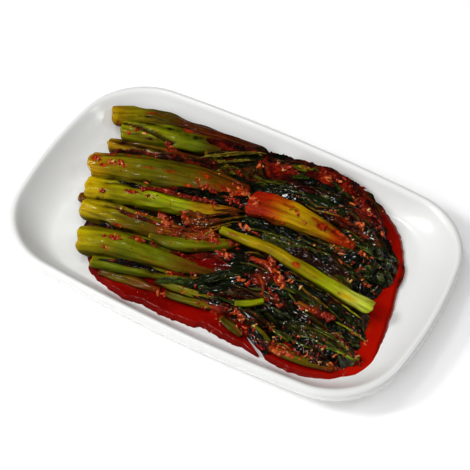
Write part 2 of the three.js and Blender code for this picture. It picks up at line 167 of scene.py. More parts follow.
def paint(piece, name, colours):  # one colour to each vertex
    colours = np.asarray(colours, float).reshape(-1, 3)
    layers = piece.data.color_attributes
    layer = layers.get(name) or layers.new(name, "FLOAT_COLOR", "POINT")
    layer.data.foreach_set("color", np.c_[colours, np.ones(len(colours))].astype("f").ravel())


def surface(name, places):  # a grid with its points at these places
    piece = gridSheet(name, places.shape[1] - 1, places.shape[0] - 1)
    shape(piece, places)
    return piece


def weld(piece, distance=0.02, outwards=True):
    only(piece)
    bpy.ops.object.mode_set(mode="EDIT")
    bpy.ops.mesh.select_all(action="SELECT")
    bpy.ops.mesh.remove_doubles(threshold=distance * mm)
    if outwards:
        bpy.ops.mesh.normals_make_consistent(inside=False)
    bpy.ops.object.mode_set(mode="OBJECT")


def smoothShade(piece, angle=None):
    only(piece)
    if angle:
        bpy.ops.object.shade_smooth_by_angle(angle=math.radians(angle))
    else:
        bpy.ops.object.shade_smooth()


def giveWall(piece, thickness, offset):  # turn a sheet into a thin solid
    wall = piece.modifiers.new("wall", "SOLIDIFY")
    wall.thickness, wall.offset = thickness * mm, offset
    only(piece)
    bpy.ops.object.modifier_apply(modifier="wall")
    smoothShade(piece)


def joined(pieces, name):
    deselect()
    for piece in pieces:
        piece.select_set(True)
    bpy.context.view_layer.objects.active = pieces[0]
    if len(pieces) > 1:
        bpy.ops.object.join()
    piece = bpy.context.object
    piece.name = piece.data.name = name
    return piece


def serve(piece, nodes, material):  # finish a piece: its material, its place under the root, and the model parts it replaces hidden
    piece.data.materials.clear()
    piece.data.materials.append(material)
    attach(piece, "root")
    if nodes:
        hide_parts(*nodes)
    return piece


def serveClosed(piece, nodes, material):  # the same, with seams and poles closed first
    weld(piece)
    smoothShade(piece)
    return serve(piece, nodes, material)


class Wire:  # a socket that can be used in sums
    def __init__(self, sheet, socket):
        self.sheet, self.socket = sheet, socket

    def maths(self, what, other):
        return self.sheet.node("ShaderNodeMath", {"operation": what}, [self, other])

    def __add__(self, other):
        return self.maths("ADD", other)

    def __sub__(self, other):
        return self.maths("SUBTRACT", other)

    def __mul__(self, other):
        return self.maths("MULTIPLY", other)

    def __rsub__(self, other):  # so that 1 - mask works
        return (self * -1) + other

    def __pow__(self, other):
        return self.maths("POWER", other)

    def clamp(self):
        return self.sheet.node("ShaderNodeClamp", {}, [self, 0.0, 1.0])

    def between(self, low, high):  # 0 below low, 1 above high, smooth in between
        return self.sheet.node("ShaderNodeMapRange", {"interpolation_type": "SMOOTHSTEP"},
                               {"Value": self, "From Min": low, "From Max": high})

    __radd__, __rmul__ = __add__, __mul__


class Sheet:  # a material and the nodes that feed its shader
    def __init__(self, name):
        self.material = bpy.data.materials.new(name)
        self.material.use_nodes = True
        self.tree = self.material.node_tree
        self.shader = self.tree.nodes["Principled BSDF"]

    def plug(self, socket, value):
        if isinstance(value, Wire):
            self.tree.links.new(value.socket, socket)
        elif isinstance(value, tuple) and len(value) == 3 and socket.type == "RGBA":
            socket.default_value = (*value, 1)
        else:
            socket.default_value = value

    def node(self, kind, settings, inputs, out=0):
        made = self.tree.nodes.new(kind)
        for key, value in settings.items():
            setattr(made, key, value)
        pairs = inputs.items() if isinstance(inputs, dict) else enumerate(inputs)
        for key, value in pairs:
            self.plug(made.inputs[key], value)
        return Wire(self, made.outputs[out])

    def place(self):
        return self.node("ShaderNodeTexCoord", {}, {}, "Object")

    def flat(self):
        return self.node("ShaderNodeUVMap", {"uv_map": "UVMap"}, {})

    def painted(self, name):
        return self.node("ShaderNodeAttribute", {"attribute_name": name}, {}, "Color")

    def parts(self, colour):  # red, green and blue
        split = self.node("ShaderNodeSeparateColor", {}, [colour]).socket.node
        return [Wire(self, split.outputs[k]) for k in range(3)]

    def stretched(self, vector, by):
        return self.node("ShaderNodeVectorMath", {"operation": "MULTIPLY"}, [vector, by])

    def speckle(self, vector, scale, detail=3.0, rough=0.55, twist=0.0):
        return self.node("ShaderNodeTexNoise", {}, {"Vector": vector, "Scale": scale, "Detail": detail,
                                                    "Roughness": rough, "Distortion": twist})

    def cells(self, vector, scale):
        return self.node("ShaderNodeTexVoronoi", {}, {"Vector": vector, "Scale": scale}, "Distance")

    def mix(self, share, a, b, blend="MIX"):
        return self.node("ShaderNodeMix", {"data_type": "RGBA", "blend_type": blend},
                         {0: share, 6: a, 7: b}, 2)

    def times(self, colour, by):
        return self.mix(1.0, colour, by, "MULTIPLY")

    def bump(self, height, strength, reach, under=None):
        inputs = {"Height": height, "Strength": strength, "Distance": reach}
        if under:
            inputs["Normal"] = under
        return self.node("ShaderNodeBump", {}, inputs)

    def finish(self, **values):
        for key, value in values.items():
            self.plug(self.shader.inputs[key.replace("_", " ")], value)
        return self.material


view = {
    "azimuth": math.radians(29.2), "elevation": math.radians(52.7), "distance": 0.900,
    "target": (0.00235, -0.00305, 0.018), "clip": (0.05, 20),
    "sensor": 36, "focus": 1679, "picture": 470,  # sensor in mm, focus and picture in pixels
}


def setCamera():
    turn, rise = view["azimuth"], view["elevation"]
    back = Vector((math.sin(turn) * math.cos(rise), -math.cos(turn) * math.cos(rise), math.sin(rise)))
    deselect()
    bpy.ops.object.camera_add(location=Vector(view["target"]) + back * view["distance"])
    camera = bpy.context.object
    camera.name = "camera"
    camera.rotation_euler = back.to_track_quat("Z", "Y").to_euler()
    camera.data.sensor_width = view["sensor"]
    camera.data.lens = view["sensor"] * view["focus"] / view["picture"]
    camera.data.clip_start, camera.data.clip_end = view["clip"]
    bpy.context.scene.camera = camera


lights = {  # place and size in m, power in W, and whether wet surfaces mirror it
    "window": {"place": (-0.95, -0.55, 0.95), "size": 0.34, "power": 8.5, "mirrored": True},
    "lamp": {"place": (-0.42, 0.10, 1.15), "size": 0.16, "power": 1.3, "mirrored": True},
    "ceiling": {"place": (-0.1, -0.75, 1.9), "size": 3.2, "power": 35, "mirrored": False},
    "side": {"place": (0.75, 0.35, 0.85), "size": 0.16, "power": 1.0, "mirrored": True},
    "front": {"place": (0.0, -1.4, 0.8), "size": 0.8, "power": 3, "mirrored": False},
}
room = {"colour": (1.0, 1.0, 1.0, 1.0), "strength": 0.02,
        "transform": "Standard", "look": "Medium High Contrast"}


def setLight():
    for name, light in lights.items():
        deselect()
        bpy.ops.object.light_add(type="AREA", location=light["place"])
        lamp = bpy.context.object
        lamp.name = name
        lamp.rotation_euler = Vector(light["place"]).to_track_quat("Z", "Y").to_euler()
        lamp.data.size, lamp.data.energy = light["size"], light["power"]
        lamp.visible_glossy = light["mirrored"]
    world = bpy.data.worlds.new("room")
    world.use_nodes = True
    background = world.node_tree.nodes["Background"]
    background.inputs["Color"].default_value = room["colour"]
    background.inputs["Strength"].default_value = room["strength"]
    scene = bpy.context.scene
    scene.world = world
    scene.view_settings.view_transform, scene.view_settings.look = room["transform"], room["look"]


floor = {"size": 6, "dark": (0.96, 0.96, 0.96), "light": (0.98, 0.98, 0.98), "cloud": 3.0, "glow": 0.07}


def setFloor():
    deselect()
    bpy.ops.mesh.primitive_plane_add(size=floor["size"], location=(0, 0, 0))
    piece = bpy.context.object
    piece.name = "floor"
    sheet = Sheet("paleFloor")
    white = sheet.mix(sheet.speckle(sheet.place(), floor["cloud"]), floor["dark"], floor["light"])
    sheet.finish(Base_Color=white, Roughness=0.8, Emission_Color=white, Emission_Strength=floor["glow"])
    piece.data.materials.append(sheet.material)


setCamera()
setLight()
setFloor()
print("camera, light and floor set")


plate = {
    "halfLength": 120, "halfWidth": 74.4, "cornerRadius": 41.5, "cornerTightens": 0.46, "swell": (9, 4.2),
    "height": 18, "floorTop": 6, "around": 240, "shares": (0.2, 0.5, 0.3),  # points on end, corner, side
    "lip": 4.5, "lipDrop": 1.1, "wallRun": (25, 14.4), "wallCurve": 1.7, "wallRows": 14,
    # inset and drop from the top, over the rolled rim
    "rim": [(3.9, 0.62), (3.3, 0.2), (2.6, 0), (2.0, 0.05), (1.3, 0.25), (0.7, 0.65), (0.25, 1.3), (0, 2.3)],
    # insets at the end and at the side, and height, down the outside and under the foot
    "outside": [(0.2, 0.15, 13.8), (1.3, 1.1, 10.8), (3.0, 2.4, 8.3), (6, 4.5, 6), (11, 7.8, 3.9),
                (17, 11.5, 2.6), (24, 16, 1.85), (30, 20, 1.5), (30.4, 20.4, 0.35), (31, 21, 0),
                (35.5, 25.5, 0), (36.2, 26.2, 0.4), (37, 27, 1.8)],
    "inner": (0, 0.3, 0.6, 0.85), "under": (0.8, 0.4, 0),  # shares of the last rings, to the middle
}


def plateQuarter(share, halfX, halfY, radius):  # a point of a quarter outline, from end to side
    endTurn, sideTurn = (math.radians(d) for d in plate["swell"])
    end, corner, side = plate["shares"]
    centreX, centreY = halfX - radius, halfY - radius

    def reaches():  # how far the swelling end and side go before the corner starts
        return centreY + radius * math.sin(endTurn), centreX + radius * math.sin(sideTurn)

    for _ in range(8):
        endReach, sideReach = reaches()
        centreX = halfX - radius * math.cos(endTurn) - endReach * math.tan(endTurn) / 2
        centreY = halfY - radius * math.cos(sideTurn) - sideReach * math.tan(sideTurn) / 2
    endReach, sideReach = reaches()
    if share < end:
        y = endReach * share / end
        return halfX - y * y * math.tan(endTurn) / (2 * endReach), y
    if share > 1 - side:
        x = sideReach * (1 - share) / side
        return x, halfY - x * x * math.tan(sideTurn) / (2 * sideReach)
    turn = lerp(endTurn, math.pi / 2 - sideTurn, (share - end) / corner)
    return centreX + radius * math.cos(turn), centreY + radius * math.sin(turn)


def plateRing(insetX, insetY, z):
    ring, count = [], plate["around"]
    radius = plate["cornerRadius"] - plate["cornerTightens"] * insetX
    for step in range(count + 1):
        quarter, share = divmod((step % count) / (count / 4), 1)
        x, y = plateQuarter(1 - share if quarter % 2 else share, plate["halfLength"] - insetX,
                            plate["halfWidth"] - insetY, radius)
        ring.append((x * (-1 if quarter in (1, 2) else 1), y * (-1 if quarter >= 2 else 1), z))
    return ring


def plateWall(t):  # inner wall: insets and height at share t from the floor up
    inset = [lerp(run, plate["lip"], t) for run in plate["wallRun"]]
    rise = plate["height"] - plate["lipDrop"] - plate["floorTop"]
    return (*inset, plate["floorTop"] + rise * t ** plate["wallCurve"])


def glaze():
    sheet = Sheet("porcelainGlaze")
    at = sheet.place()
    base = sheet.mix(sheet.speckle(at, 26.0, 2.0), (0.75, 0.755, 0.735), (0.79, 0.795, 0.785))
    base = sheet.mix(sheet.cells(at, 900.0).between(0.0, 0.12), (0.77, 0.77, 0.75), base)
    ripple = sheet.speckle(at, 55.0, 1.0)
    return sheet.finish(Base_Color=base, Roughness=sheet.speckle(at, 90.0) * 0.06 + 0.2,
                        Normal=sheet.bump(ripple, 0.12, 0.0006), Coat_Weight=0.3, Coat_Roughness=0.28)


def makePlate():
    rows = [plateWall(t) for t in np.linspace(0, 1, plate["wallRows"])]
    rows += [(inset, inset, plate["height"] - drop) for inset, drop in plate["rim"]] + plate["outside"]
    rings = [plateRing(*row) for row in rows]
    inner = [np.array(rings[0]) * (k, k, 1) for k in plate["inner"]]
    under = [np.array(rings[-1]) * (k, k, 1) for k in plate["under"]]
    piece = surface("plate_glazed", np.array(inner + rings + under))
    return serveClosed(piece, ["plate"], glaze())


platePiece = makePlate()
print("plate made")


sauce = {
    "level": 8.2, "bed": 5.7, "count": 560, "seam": 0.005, "crease": 50,
    "shore": [
        (96, -2), (92, 14), (88.4, 29), (80, 44), (70, 54), (57, 60.5), (30, 62), (-5, 60), (-38, 56),
        (-50, 30), (-56, 2), (-62, -24), (-65, -44), (-58, -54), (-46, -58.5), (-31, -61.5), (-21, -60),
        (-8, -60.5), (4, -59.5), (16, -57), (29.2, -58.5), (35.8, -57.6), (42.1, -58.3), (47.5, -58.5),
        (45.0, -56.6), (40.6, -54.0), (35.3, -50.3), (37.6, -50.7), (43.1, -53.7), (47.2, -55.3),
        (51.3, -57.9), (66, -59), (80, -55.5), (94.5, -48.4), (102, -46.8), (104.4, -44.4), (103.8, -40),
        (102.2, -32.6), (100.2, -24),
    ],
    # inwards and share of height, up the rounded edge
    "edge": [(0.25, 0), (0.0, 0.0), (0.03, 0.25), (0.16, 0.45), (0.5, 0.62), (1.0, 0.78), (1.7, 0.92),
             (2.5, 1.0), (3.3, 1.0)],
    "rimRows": (6.4, 8),
    "scallops": [(2.6, 1, 0.55), (7.0, 2, 0.45)],  # size, seed and height
    "nearScallops": [(4.6, 6, 1), (2.0, 7, 0.7)], "near": (38, 56),
    "bay": (44, 8), "bayNear": (44, 50), "bayThin": 0.8,  # the narrow bay, where the edge is thin
    "sunlit": (55, 92),
}


def sauceSkin():
    sheet = Sheet("chiliLiquid")
    at = sheet.place()
    cloud = sheet.speckle(at, 60.0, 4.0, 0.6)
    pulp = sheet.speckle(at, 420.0, 3.0)
    side, rim, lumpy = sheet.parts(sheet.painted("marks"))
    red = sheet.mix(cloud.between(0.35, 0.68), tone(104, 6, 1), tone(140, 12, 2))
    # painted light: the red is brighter towards the right-hand side, by the sunlit share of the marks
    red = sheet.mix(side, red, sheet.mix(cloud, tone(150, 14, 1), tone(184, 28, 3)))
    red = sheet.mix(pulp.between(0.58, 0.72) * 0.4, red, tone(150, 30, 6))
    red = sheet.mix(rim ** 4.0 * 0.4, red, tone(92, 8, 4))
    red = sheet.mix(lumpy * cloud.between(0.4, 0.6), red, tone(74, 4, 6))
    lumps = sheet.bump(pulp, 0.25, 0.0004)
    dull = rim * (1 - side)
    return sheet.finish(Base_Color=red, Roughness=pulp * 0.12 + 0.1 + dull * 0.6,
                        Normal=sheet.bump(cloud, 0.15, 0.001, lumps), Specular_IOR_Level=0.15,
                        Coat_Weight=(1 - dull).clamp(), Coat_Roughness=0.03)


chiliLiquid = sauceSkin()


def sauceRows():  # the edge of the sauce, ring by ring, from the plate up and inwards
    shore = evenLoop(sauce["shore"], sauce["count"])
    at = np.c_[shore, np.zeros(len(shore))]
    tangent = unit(np.roll(shore, -1, 0) - np.roll(shore, 1, 0))
    inwards = np.stack([-tangent[:, 1], tangent[:, 0]], 1)  # the loop runs anticlockwise
    near = ease(-shore[:, 1], *sauce["near"])
    wobble = grains(at, sauce["scallops"]) + grains(at, sauce["nearScallops"]) * near
    middle, reach = sauce["bay"]
    bay = np.exp(-((shore[:, 0] - middle) / reach) ** 2) * ease(-shore[:, 1], *sauce["bayNear"])
    rows = []
    for inset, height in sauce["edge"]:
        ring = shore + inwards * (inset * (1 - sauce["bayThin"] * bay) + wobble * (1 - bay))[:, None]
        z = sauce["bed"] + (sauce["level"] - sauce["bed"]) * height
        rows.append(np.c_[ring, np.full(len(ring), z)])
    return np.array([np.r_[row, row[:1]] for row in rows])


def makeSauce():
    rows = sauceRows()
    piece = surface("sauce_pool", rows)
    rim = 1 - ease(np.arange(len(rows)), *sauce["rimRows"])[:, None] + rows[..., 0] * 0
    paint(piece, "marks", np.stack([ease(rows[..., 0], *sauce["sunlit"]), rim, rim * 0], -1))
    weld(piece, sauce["seam"], outwards=False)
    only(piece)
    bpy.ops.object.mode_set(mode="EDIT")
    bpy.ops.mesh.select_mode(type="EDGE")
    bpy.ops.mesh.select_all(action="DESELECT")
    bpy.ops.mesh.select_non_manifold()  # the two open rings
    bpy.ops.mesh.edge_face_add()
    bpy.ops.mesh.select_all(action="SELECT")
    bpy.ops.mesh.quads_convert_to_tris()
    bpy.ops.mesh.normals_make_consistent(inside=False)
    bpy.ops.object.mode_set(mode="OBJECT")
    smoothShade(piece, sauce["crease"])
    return serve(piece, ["sauce"], chiliLiquid)


seenLevel = 15  # spots and loose leaves are given where they stand on this level, seen from the front
slope = (math.sin(view["azimuth"]) / math.tan(view["elevation"]),
         -math.cos(view["azimuth"]) / math.tan(view["elevation"]))


def asSeen(places):
    return places[..., :2] + (seenLevel - places[..., 2:]) * slope


# colours as seen on screen
golden, lime, olive, deepGreen = (206, 168, 24), (150, 164, 22), (104, 108, 14), (54, 74, 10)
brown, maroon, chili, leafDark = (96, 56, 8), (58, 10, 5), (146, 24, 4), (20, 26, 8)

# path in mm, width and thickness spread along it, the flesh colours along it,
# channels: share along and side where a hollow starts, the same where it ends, its depth and width
stalks = {
    "stalk_crossing": {
        "path": [(-6.6, -4.6, 19), (9.8, -4.9, 20.4), (24, -4.4, 21.2), (43.8, -7.2, 21), (62.6, -9, 19.4),
                 (75, -9.6, 17.8), (86.6, -9.4, 15.6)],
        "width": (5, 6.8, 7.4, 7.8, 8.8), "thick": (4, 5.4, 6, 6.2, 6.6), "cut": (0, 0.9),
        "channels": [(0.5, 0.45, 0.94, 0.3, 0.6, 0.1)],
        # the near-white colour near the right end is a painted highlight
        "flesh": ((146, 146, 22), (160, 140, 18), (156, 138, 16), (150, 132, 16), (146, 146, 16),
                  (164, 174, 60), (222, 228, 190), (178, 196, 90)),
        "slot": "stalk_yellow",
    },
    "midrib_red": {
        "path": [(-2.6, 19.6, 19.2), (14, 21.8, 20), (30, 22.3, 19.6), (46, 22, 18.2), (62.6, 21.8, 15.8)],
        "width": (16, 17.5, 14.6, 10.5, 5), "thick": (5, 7.6, 7.6, 6, 3), "cut": (0, 0),
        "channels": [(0.1, 0.35, 0.8, 0.3, 0.5, 0.16), (0.2, -0.35, 0.7, -0.3, 0.4, 0.14)],
        "flesh": ((186, 16, 4), (178, 24, 5), (186, 80, 10), (206, 162, 24), (190, 146, 20), (156, 92, 12),
                  (168, 48, 8), (140, 28, 6)),
        "slot": "stalk_yellow", "rim": 0,
    },
    "chili_strip": {
        "path": [(17, -11.6, 17), (28, -12.4, 18), (38, -20, 16.2)],
        "width": (2.6, 3.6, 2.2), "thick": (2.2, 2.6, 1.8),
        "flesh": (chili, (176, 44, 8), chili),
        "slot": "chili_red", "stain": 0.7, "lumpy": 1.8,
    },
    "chili_strip_thin": {
        "path": [(26, -19, 16.4), (31, -24, 15.8), (33, -29, 14.8)],
        "width": (1.7, 2.2, 1.5), "thick": (1.6, 1.8, 1.4),
        "flesh": (chili, maroon, chili),
        "slot": "chili_red", "stain": 0.6, "lumpy": 1.6,
    },
    "strip_far_red": {
        "path": [(8, 54.4, 17.6), (25, 56.2, 17.8), (42, 57.4, 16.8)],
        "width": (5, 8, 5), "thick": (1.3, 1.5, 1.2),
        "flesh": ((60, 20, 6), (84, 14, 5), (60, 14, 6)),
        "slot": "chili_red", "stain": 0.35, "lumpy": 2.2,
    },
    "stem_orange": {
        "path": [(51, -24, 15.4), (62, -24.5, 15), (73, -23, 13.6)],
        "width": (2.2, 3.4, 2.2), "thick": (2, 2.8, 2), "cut": (0.3, 0.3),
        "flesh": ((140, 100, 24), (176, 70, 14), chili),
        "slot": "chili_red", "stain": 0.5,
    },
    "stem_cut_short": {
        "path": [(22, -39.5, 12.8), (29, -36, 13.6), (35.5, -31, 14.2)],
        "width": (3.6, 4.4, 4), "thick": (3.2, 3.6, 3.2), "cut": (0, 0.4),
        "flesh": (olive, (130, 140, 24), lime),
        "slot": "stalk_yellow",
    },
    "stem_far_thin": {
        "path": [(-42, 41, 14.6), (-26, 48, 15), (-9, 54, 16.4)],
        "width": (3.4, 4.2, 3.2), "thick": (2.8, 3.2, 2.4), "channels": [(0.1, 0.1, 0.9, -0.1, 0.7, 0.2)],
        "flesh": ((84, 64, 14), (100, 88, 22), (80, 66, 16)),
        "slot": "stalk_olive",
    },
    "petiole_curved": {
        "path": [(-40, -23.4, 13.4), (-20, -20.5, 14.4), (-4, -12, 15), (8, -1.5, 14.4)],
        "width": (5, 8, 7.4, 4), "thick": (4, 6, 5.4, 3), "channels": [(0.15, 0.4, 0.8, 0.3, 0.6, 0.2)],
        "flesh": ((96, 88, 14), (116, 122, 22), (108, 110, 18), brown),
        "slot": "stalk_olive", "stain": 0.2, "lumpy": 1.3,
    },
    "stalk_stained": {
        "path": [(-93.7, 3.3, 13), (-68.2, 13.2, 13), (-34.3, 22.8, 13.8), (-4.6, 27.6, 14.6)],
        "width": (15.4, 20, 19, 10), "thick": (12, 12.4, 11, 7), "cut": (-0.35, 0),
        "channels": [(0.0, 0.62, 0.9, 0.55, 1.0, 0.12), (0.3, -0.2, 0.95, -0.1, 0.5, 0.08)],
        "flesh": ((206, 156, 24), (130, 116, 14), (106, 102, 12), (100, 92, 12), (104, 66, 8), (110, 42, 8)),
        "slot": "stalk_olive",
    },
    "stalk_far_channelled": {
        "path": [(-92, 34, 12.6), (-71, 41, 12.8), (-48, 46.5, 12.8), (-22, 52.5, 13.8)],
        "width": (14, 16, 12, 5), "thick": (11, 11, 8.4, 4), "cut": (-0.3, 0),
        "channels": [(0.04, 0.35, 0.46, -0.75, 2.2, 0.16)],
        "flesh": ((150, 146, 16), (130, 132, 12), (126, 134, 14), (108, 124, 12), (62, 64, 10), leafDark),
        "slot": "stalk_green",
    },
    "stalk_far": {
        "path": [(-101.9, 40.4, 13.4), (-80, 50.6, 13), (-53, 53.8, 14), (-11, 58, 16.4)],
        "width": (12, 11, 8, 4), "thick": (9.6, 9, 7, 3), "cut": (-0.3, 0),
        "channels": [(0.1, 0.5, 0.6, 0.3, 0.8, 0.14)],
        "flesh": ((170, 134, 18), (134, 124, 14), (92, 80, 12), (66, 22, 8), (58, 5, 6), (46, 4, 6)),
        "slot": "stalk_olive",
    },
    "stalk_middle": {
        "path": [(-87.6, -10.9, 12.2), (-59, -1.4, 12.2), (-30, 4, 13.4), (-3, 13, 15)],
        "width": (15, 15.6, 11.4, 6), "thick": (11.4, 11.2, 9, 5), "cut": (-0.3, 0),
        "channels": [(0.02, 0.0, 0.16, 0.1, 0.5, 0.2), (0.12, 0.25, 0.75, 0.45, 1.1, 0.16)],
        "flesh": ((214, 184, 24), (150, 144, 14), (148, 156, 14), (146, 156, 14), (160, 122, 12),
                  (140, 84, 10)),
        "slot": "stalk_green",
    },
    "stalk_low": {
        "path": [(-83.1, -23.2, 11.4), (-61, -19.3, 11.4), (-38, -16, 11.8), (-17, -11, 11.6)],
        "width": (11.5, 15.5, 13, 7), "thick": (9, 9.8, 8, 5), "cut": (-0.3, 0),
        "channels": [(0.2, 0.35, 0.9, 0.1, 1.4, 0.12), (0.3, -0.4, 0.9, -0.35, 0.7, 0.12)],
        "flesh": ((206, 178, 30), (146, 132, 14), (108, 98, 10), (100, 64, 10), brown),
        "slot": "stalk_olive",
    },
    "stalk_far_stub": {
        "path": [(-94.5, 23, 10.1), (-65, 31.5, 10.1), (-40, 38, 10.8)],
        "width": (8.4, 8.4, 5), "thick": (7.4, 7.4, 5), "cut": (-0.3, 0),
        "channels": [(0.0, 0.2, 0.5, 0.3, 1.2, 0.2)],
        "flesh": ((170, 130, 24), (120, 92, 14), (70, 50, 8), (50, 24, 6)),
        "slot": "stalk_brown",
    },
    "stalk_near": {
        "path": [(-71.4, -43.6, 13.1), (-50, -36.5, 13.1), (-20, -31.5, 12.4), (9, -25.5, 11.4)],
        "width": (16.5, 18, 13, 4), "thick": (13, 13, 9, 3.4), "cut": (-0.3, 0),
        "channels": [(0.1, 0.62, 0.8, 0.5, 0.9, 0.14), (0.35, -0.45, 0.95, -0.3, 0.5, 0.12)],
        "flesh": ((190, 172, 28), (144, 136, 12), (112, 116, 12), (104, 116, 12), (90, 72, 12), leafDark),
        "slot": "stalk_green",
    },
    "stalk_front": {
        "path": [(-59.5, -51, 10.4), (-39, -45, 10.4), (-16, -38.4, 10.4), (3, -32.5, 11)],
        "width": (8, 8.6, 6.4, 3.6), "thick": (5.4, 5.4, 4.4, 3), "cut": (-0.3, 0),
        "channels": [(0.05, 0.1, 0.95, 0.0, 0.5, 0.2)],
        "flesh": ((112, 116, 18), (104, 116, 16), (110, 118, 18), deepGreen),
        "slot": "stalk_green",
    },
    "stalk_front_sunk": {
        "path": [(-53, -54, 8.8), (-36, -51, 8.6), (-17, -48.6, 8.7)],
        "width": (4.6, 6.2, 4), "thick": (3, 3.2, 2.8),
        "flesh": ((96, 60, 8), (108, 98, 12), (112, 70, 10), (110, 30, 6)),
        "slot": "stalk_brown", "stain": 0.35, "lumpy": 2, "rim": 0,
    },
    "stem_front_upper": {
        "path": [(-23, -45.4, 10.2), (-5, -43.6, 10.5), (13.5, -40.6, 10.8)],
        "width": (3.6, 4.8, 3.4), "thick": (3, 3.6, 3), "cut": (0, 0.3),
        "channels": [(0.1, 0.1, 0.9, 0.1, 0.5, 0.2)],
        "flesh": ((60, 30, 8), (112, 108, 36), (124, 120, 56), (80, 50, 20)),
        "slot": "stalk_green", "lumpy": 1.8, "rim": 0,
    },
    "stem_front_lower": {
        "path": [(-15, -50, 10.1), (3, -47.6, 10.4), (20.5, -43.2, 10.8)],
        "width": (3.4, 4.6, 3.4), "thick": (3, 3.4, 3), "cut": (0, 0.3),
        "channels": [(0.1, 0.1, 0.9, 0.1, 0.5, 0.2)],
        "flesh": ((90, 50, 12), (100, 98, 22), (118, 106, 24), (120, 90, 20), (130, 60, 12)),
        "slot": "stalk_green", "lumpy": 1.8, "rim": 0,
    },
    "stem_right_green": {
        "path": [(71, -39.5, 12.6), (84, -40.2, 12), (94.5, -37, 10.4)],
        "width": (2.4, 3.6, 2.6), "thick": (2.2, 3, 2.2), "cut": (0, 0.3),
        "flesh": (olive, (116, 132, 28), olive),
        "slot": "stalk_green",
    },
    "stem_right_front": {
        "path": [(50, -53.4, 10.4), (67, -52, 10.6), (86, -48.6, 10.4)],
        "width": (4, 5.6, 4), "thick": (3, 3.8, 3), "channels": [(0.1, 0.0, 0.9, 0.1, 0.5, 0.2)],
        "flesh": (chili, (110, 112, 18), (110, 108, 18), (140, 56, 10)),
        "slot": "stalk_green", "stain": 0.4,
    },
    "stem_small": {
        "path": [(36, -45.6, 11.4), (43, -47.6, 11.2), (49, -50, 10.4)],
        "width": (2.4, 3, 2.4), "thick": (2.2, 2.6, 2.2), "cut": (0.3, 0.3),
        "flesh": (olive, (116, 112, 24), olive),
        "slot": "stalk_yellow",
    },
    "stem_brown": {
        "path": [(19, -49, 10.1), (27, -51, 10.1), (35, -53.5, 9.9)],
        "width": (4, 5.4, 3), "thick": (2.8, 3, 2.4), "channels": [(0.1, 0.0, 0.9, 0.0, 0.6, 0.25)],
        "flesh": ((70, 44, 10), (84, 74, 16), brown),
        "slot": "stalk_brown",
    },
    "leaf_scrap_left": {
        "path": [(-89.4, -16.4, 10.4), (-85, -15.6, 10.2), (-79, -14.6, 8.6)],
        "width": (5, 7.4, 3), "thick": (2.2, 2.6, 2),
        "flesh": ((80, 34, 8), (110, 72, 20), (80, 30, 8)),
        "slot": "leaf_red", "stain": 0.4, "lumpy": 1.2,
    },
}

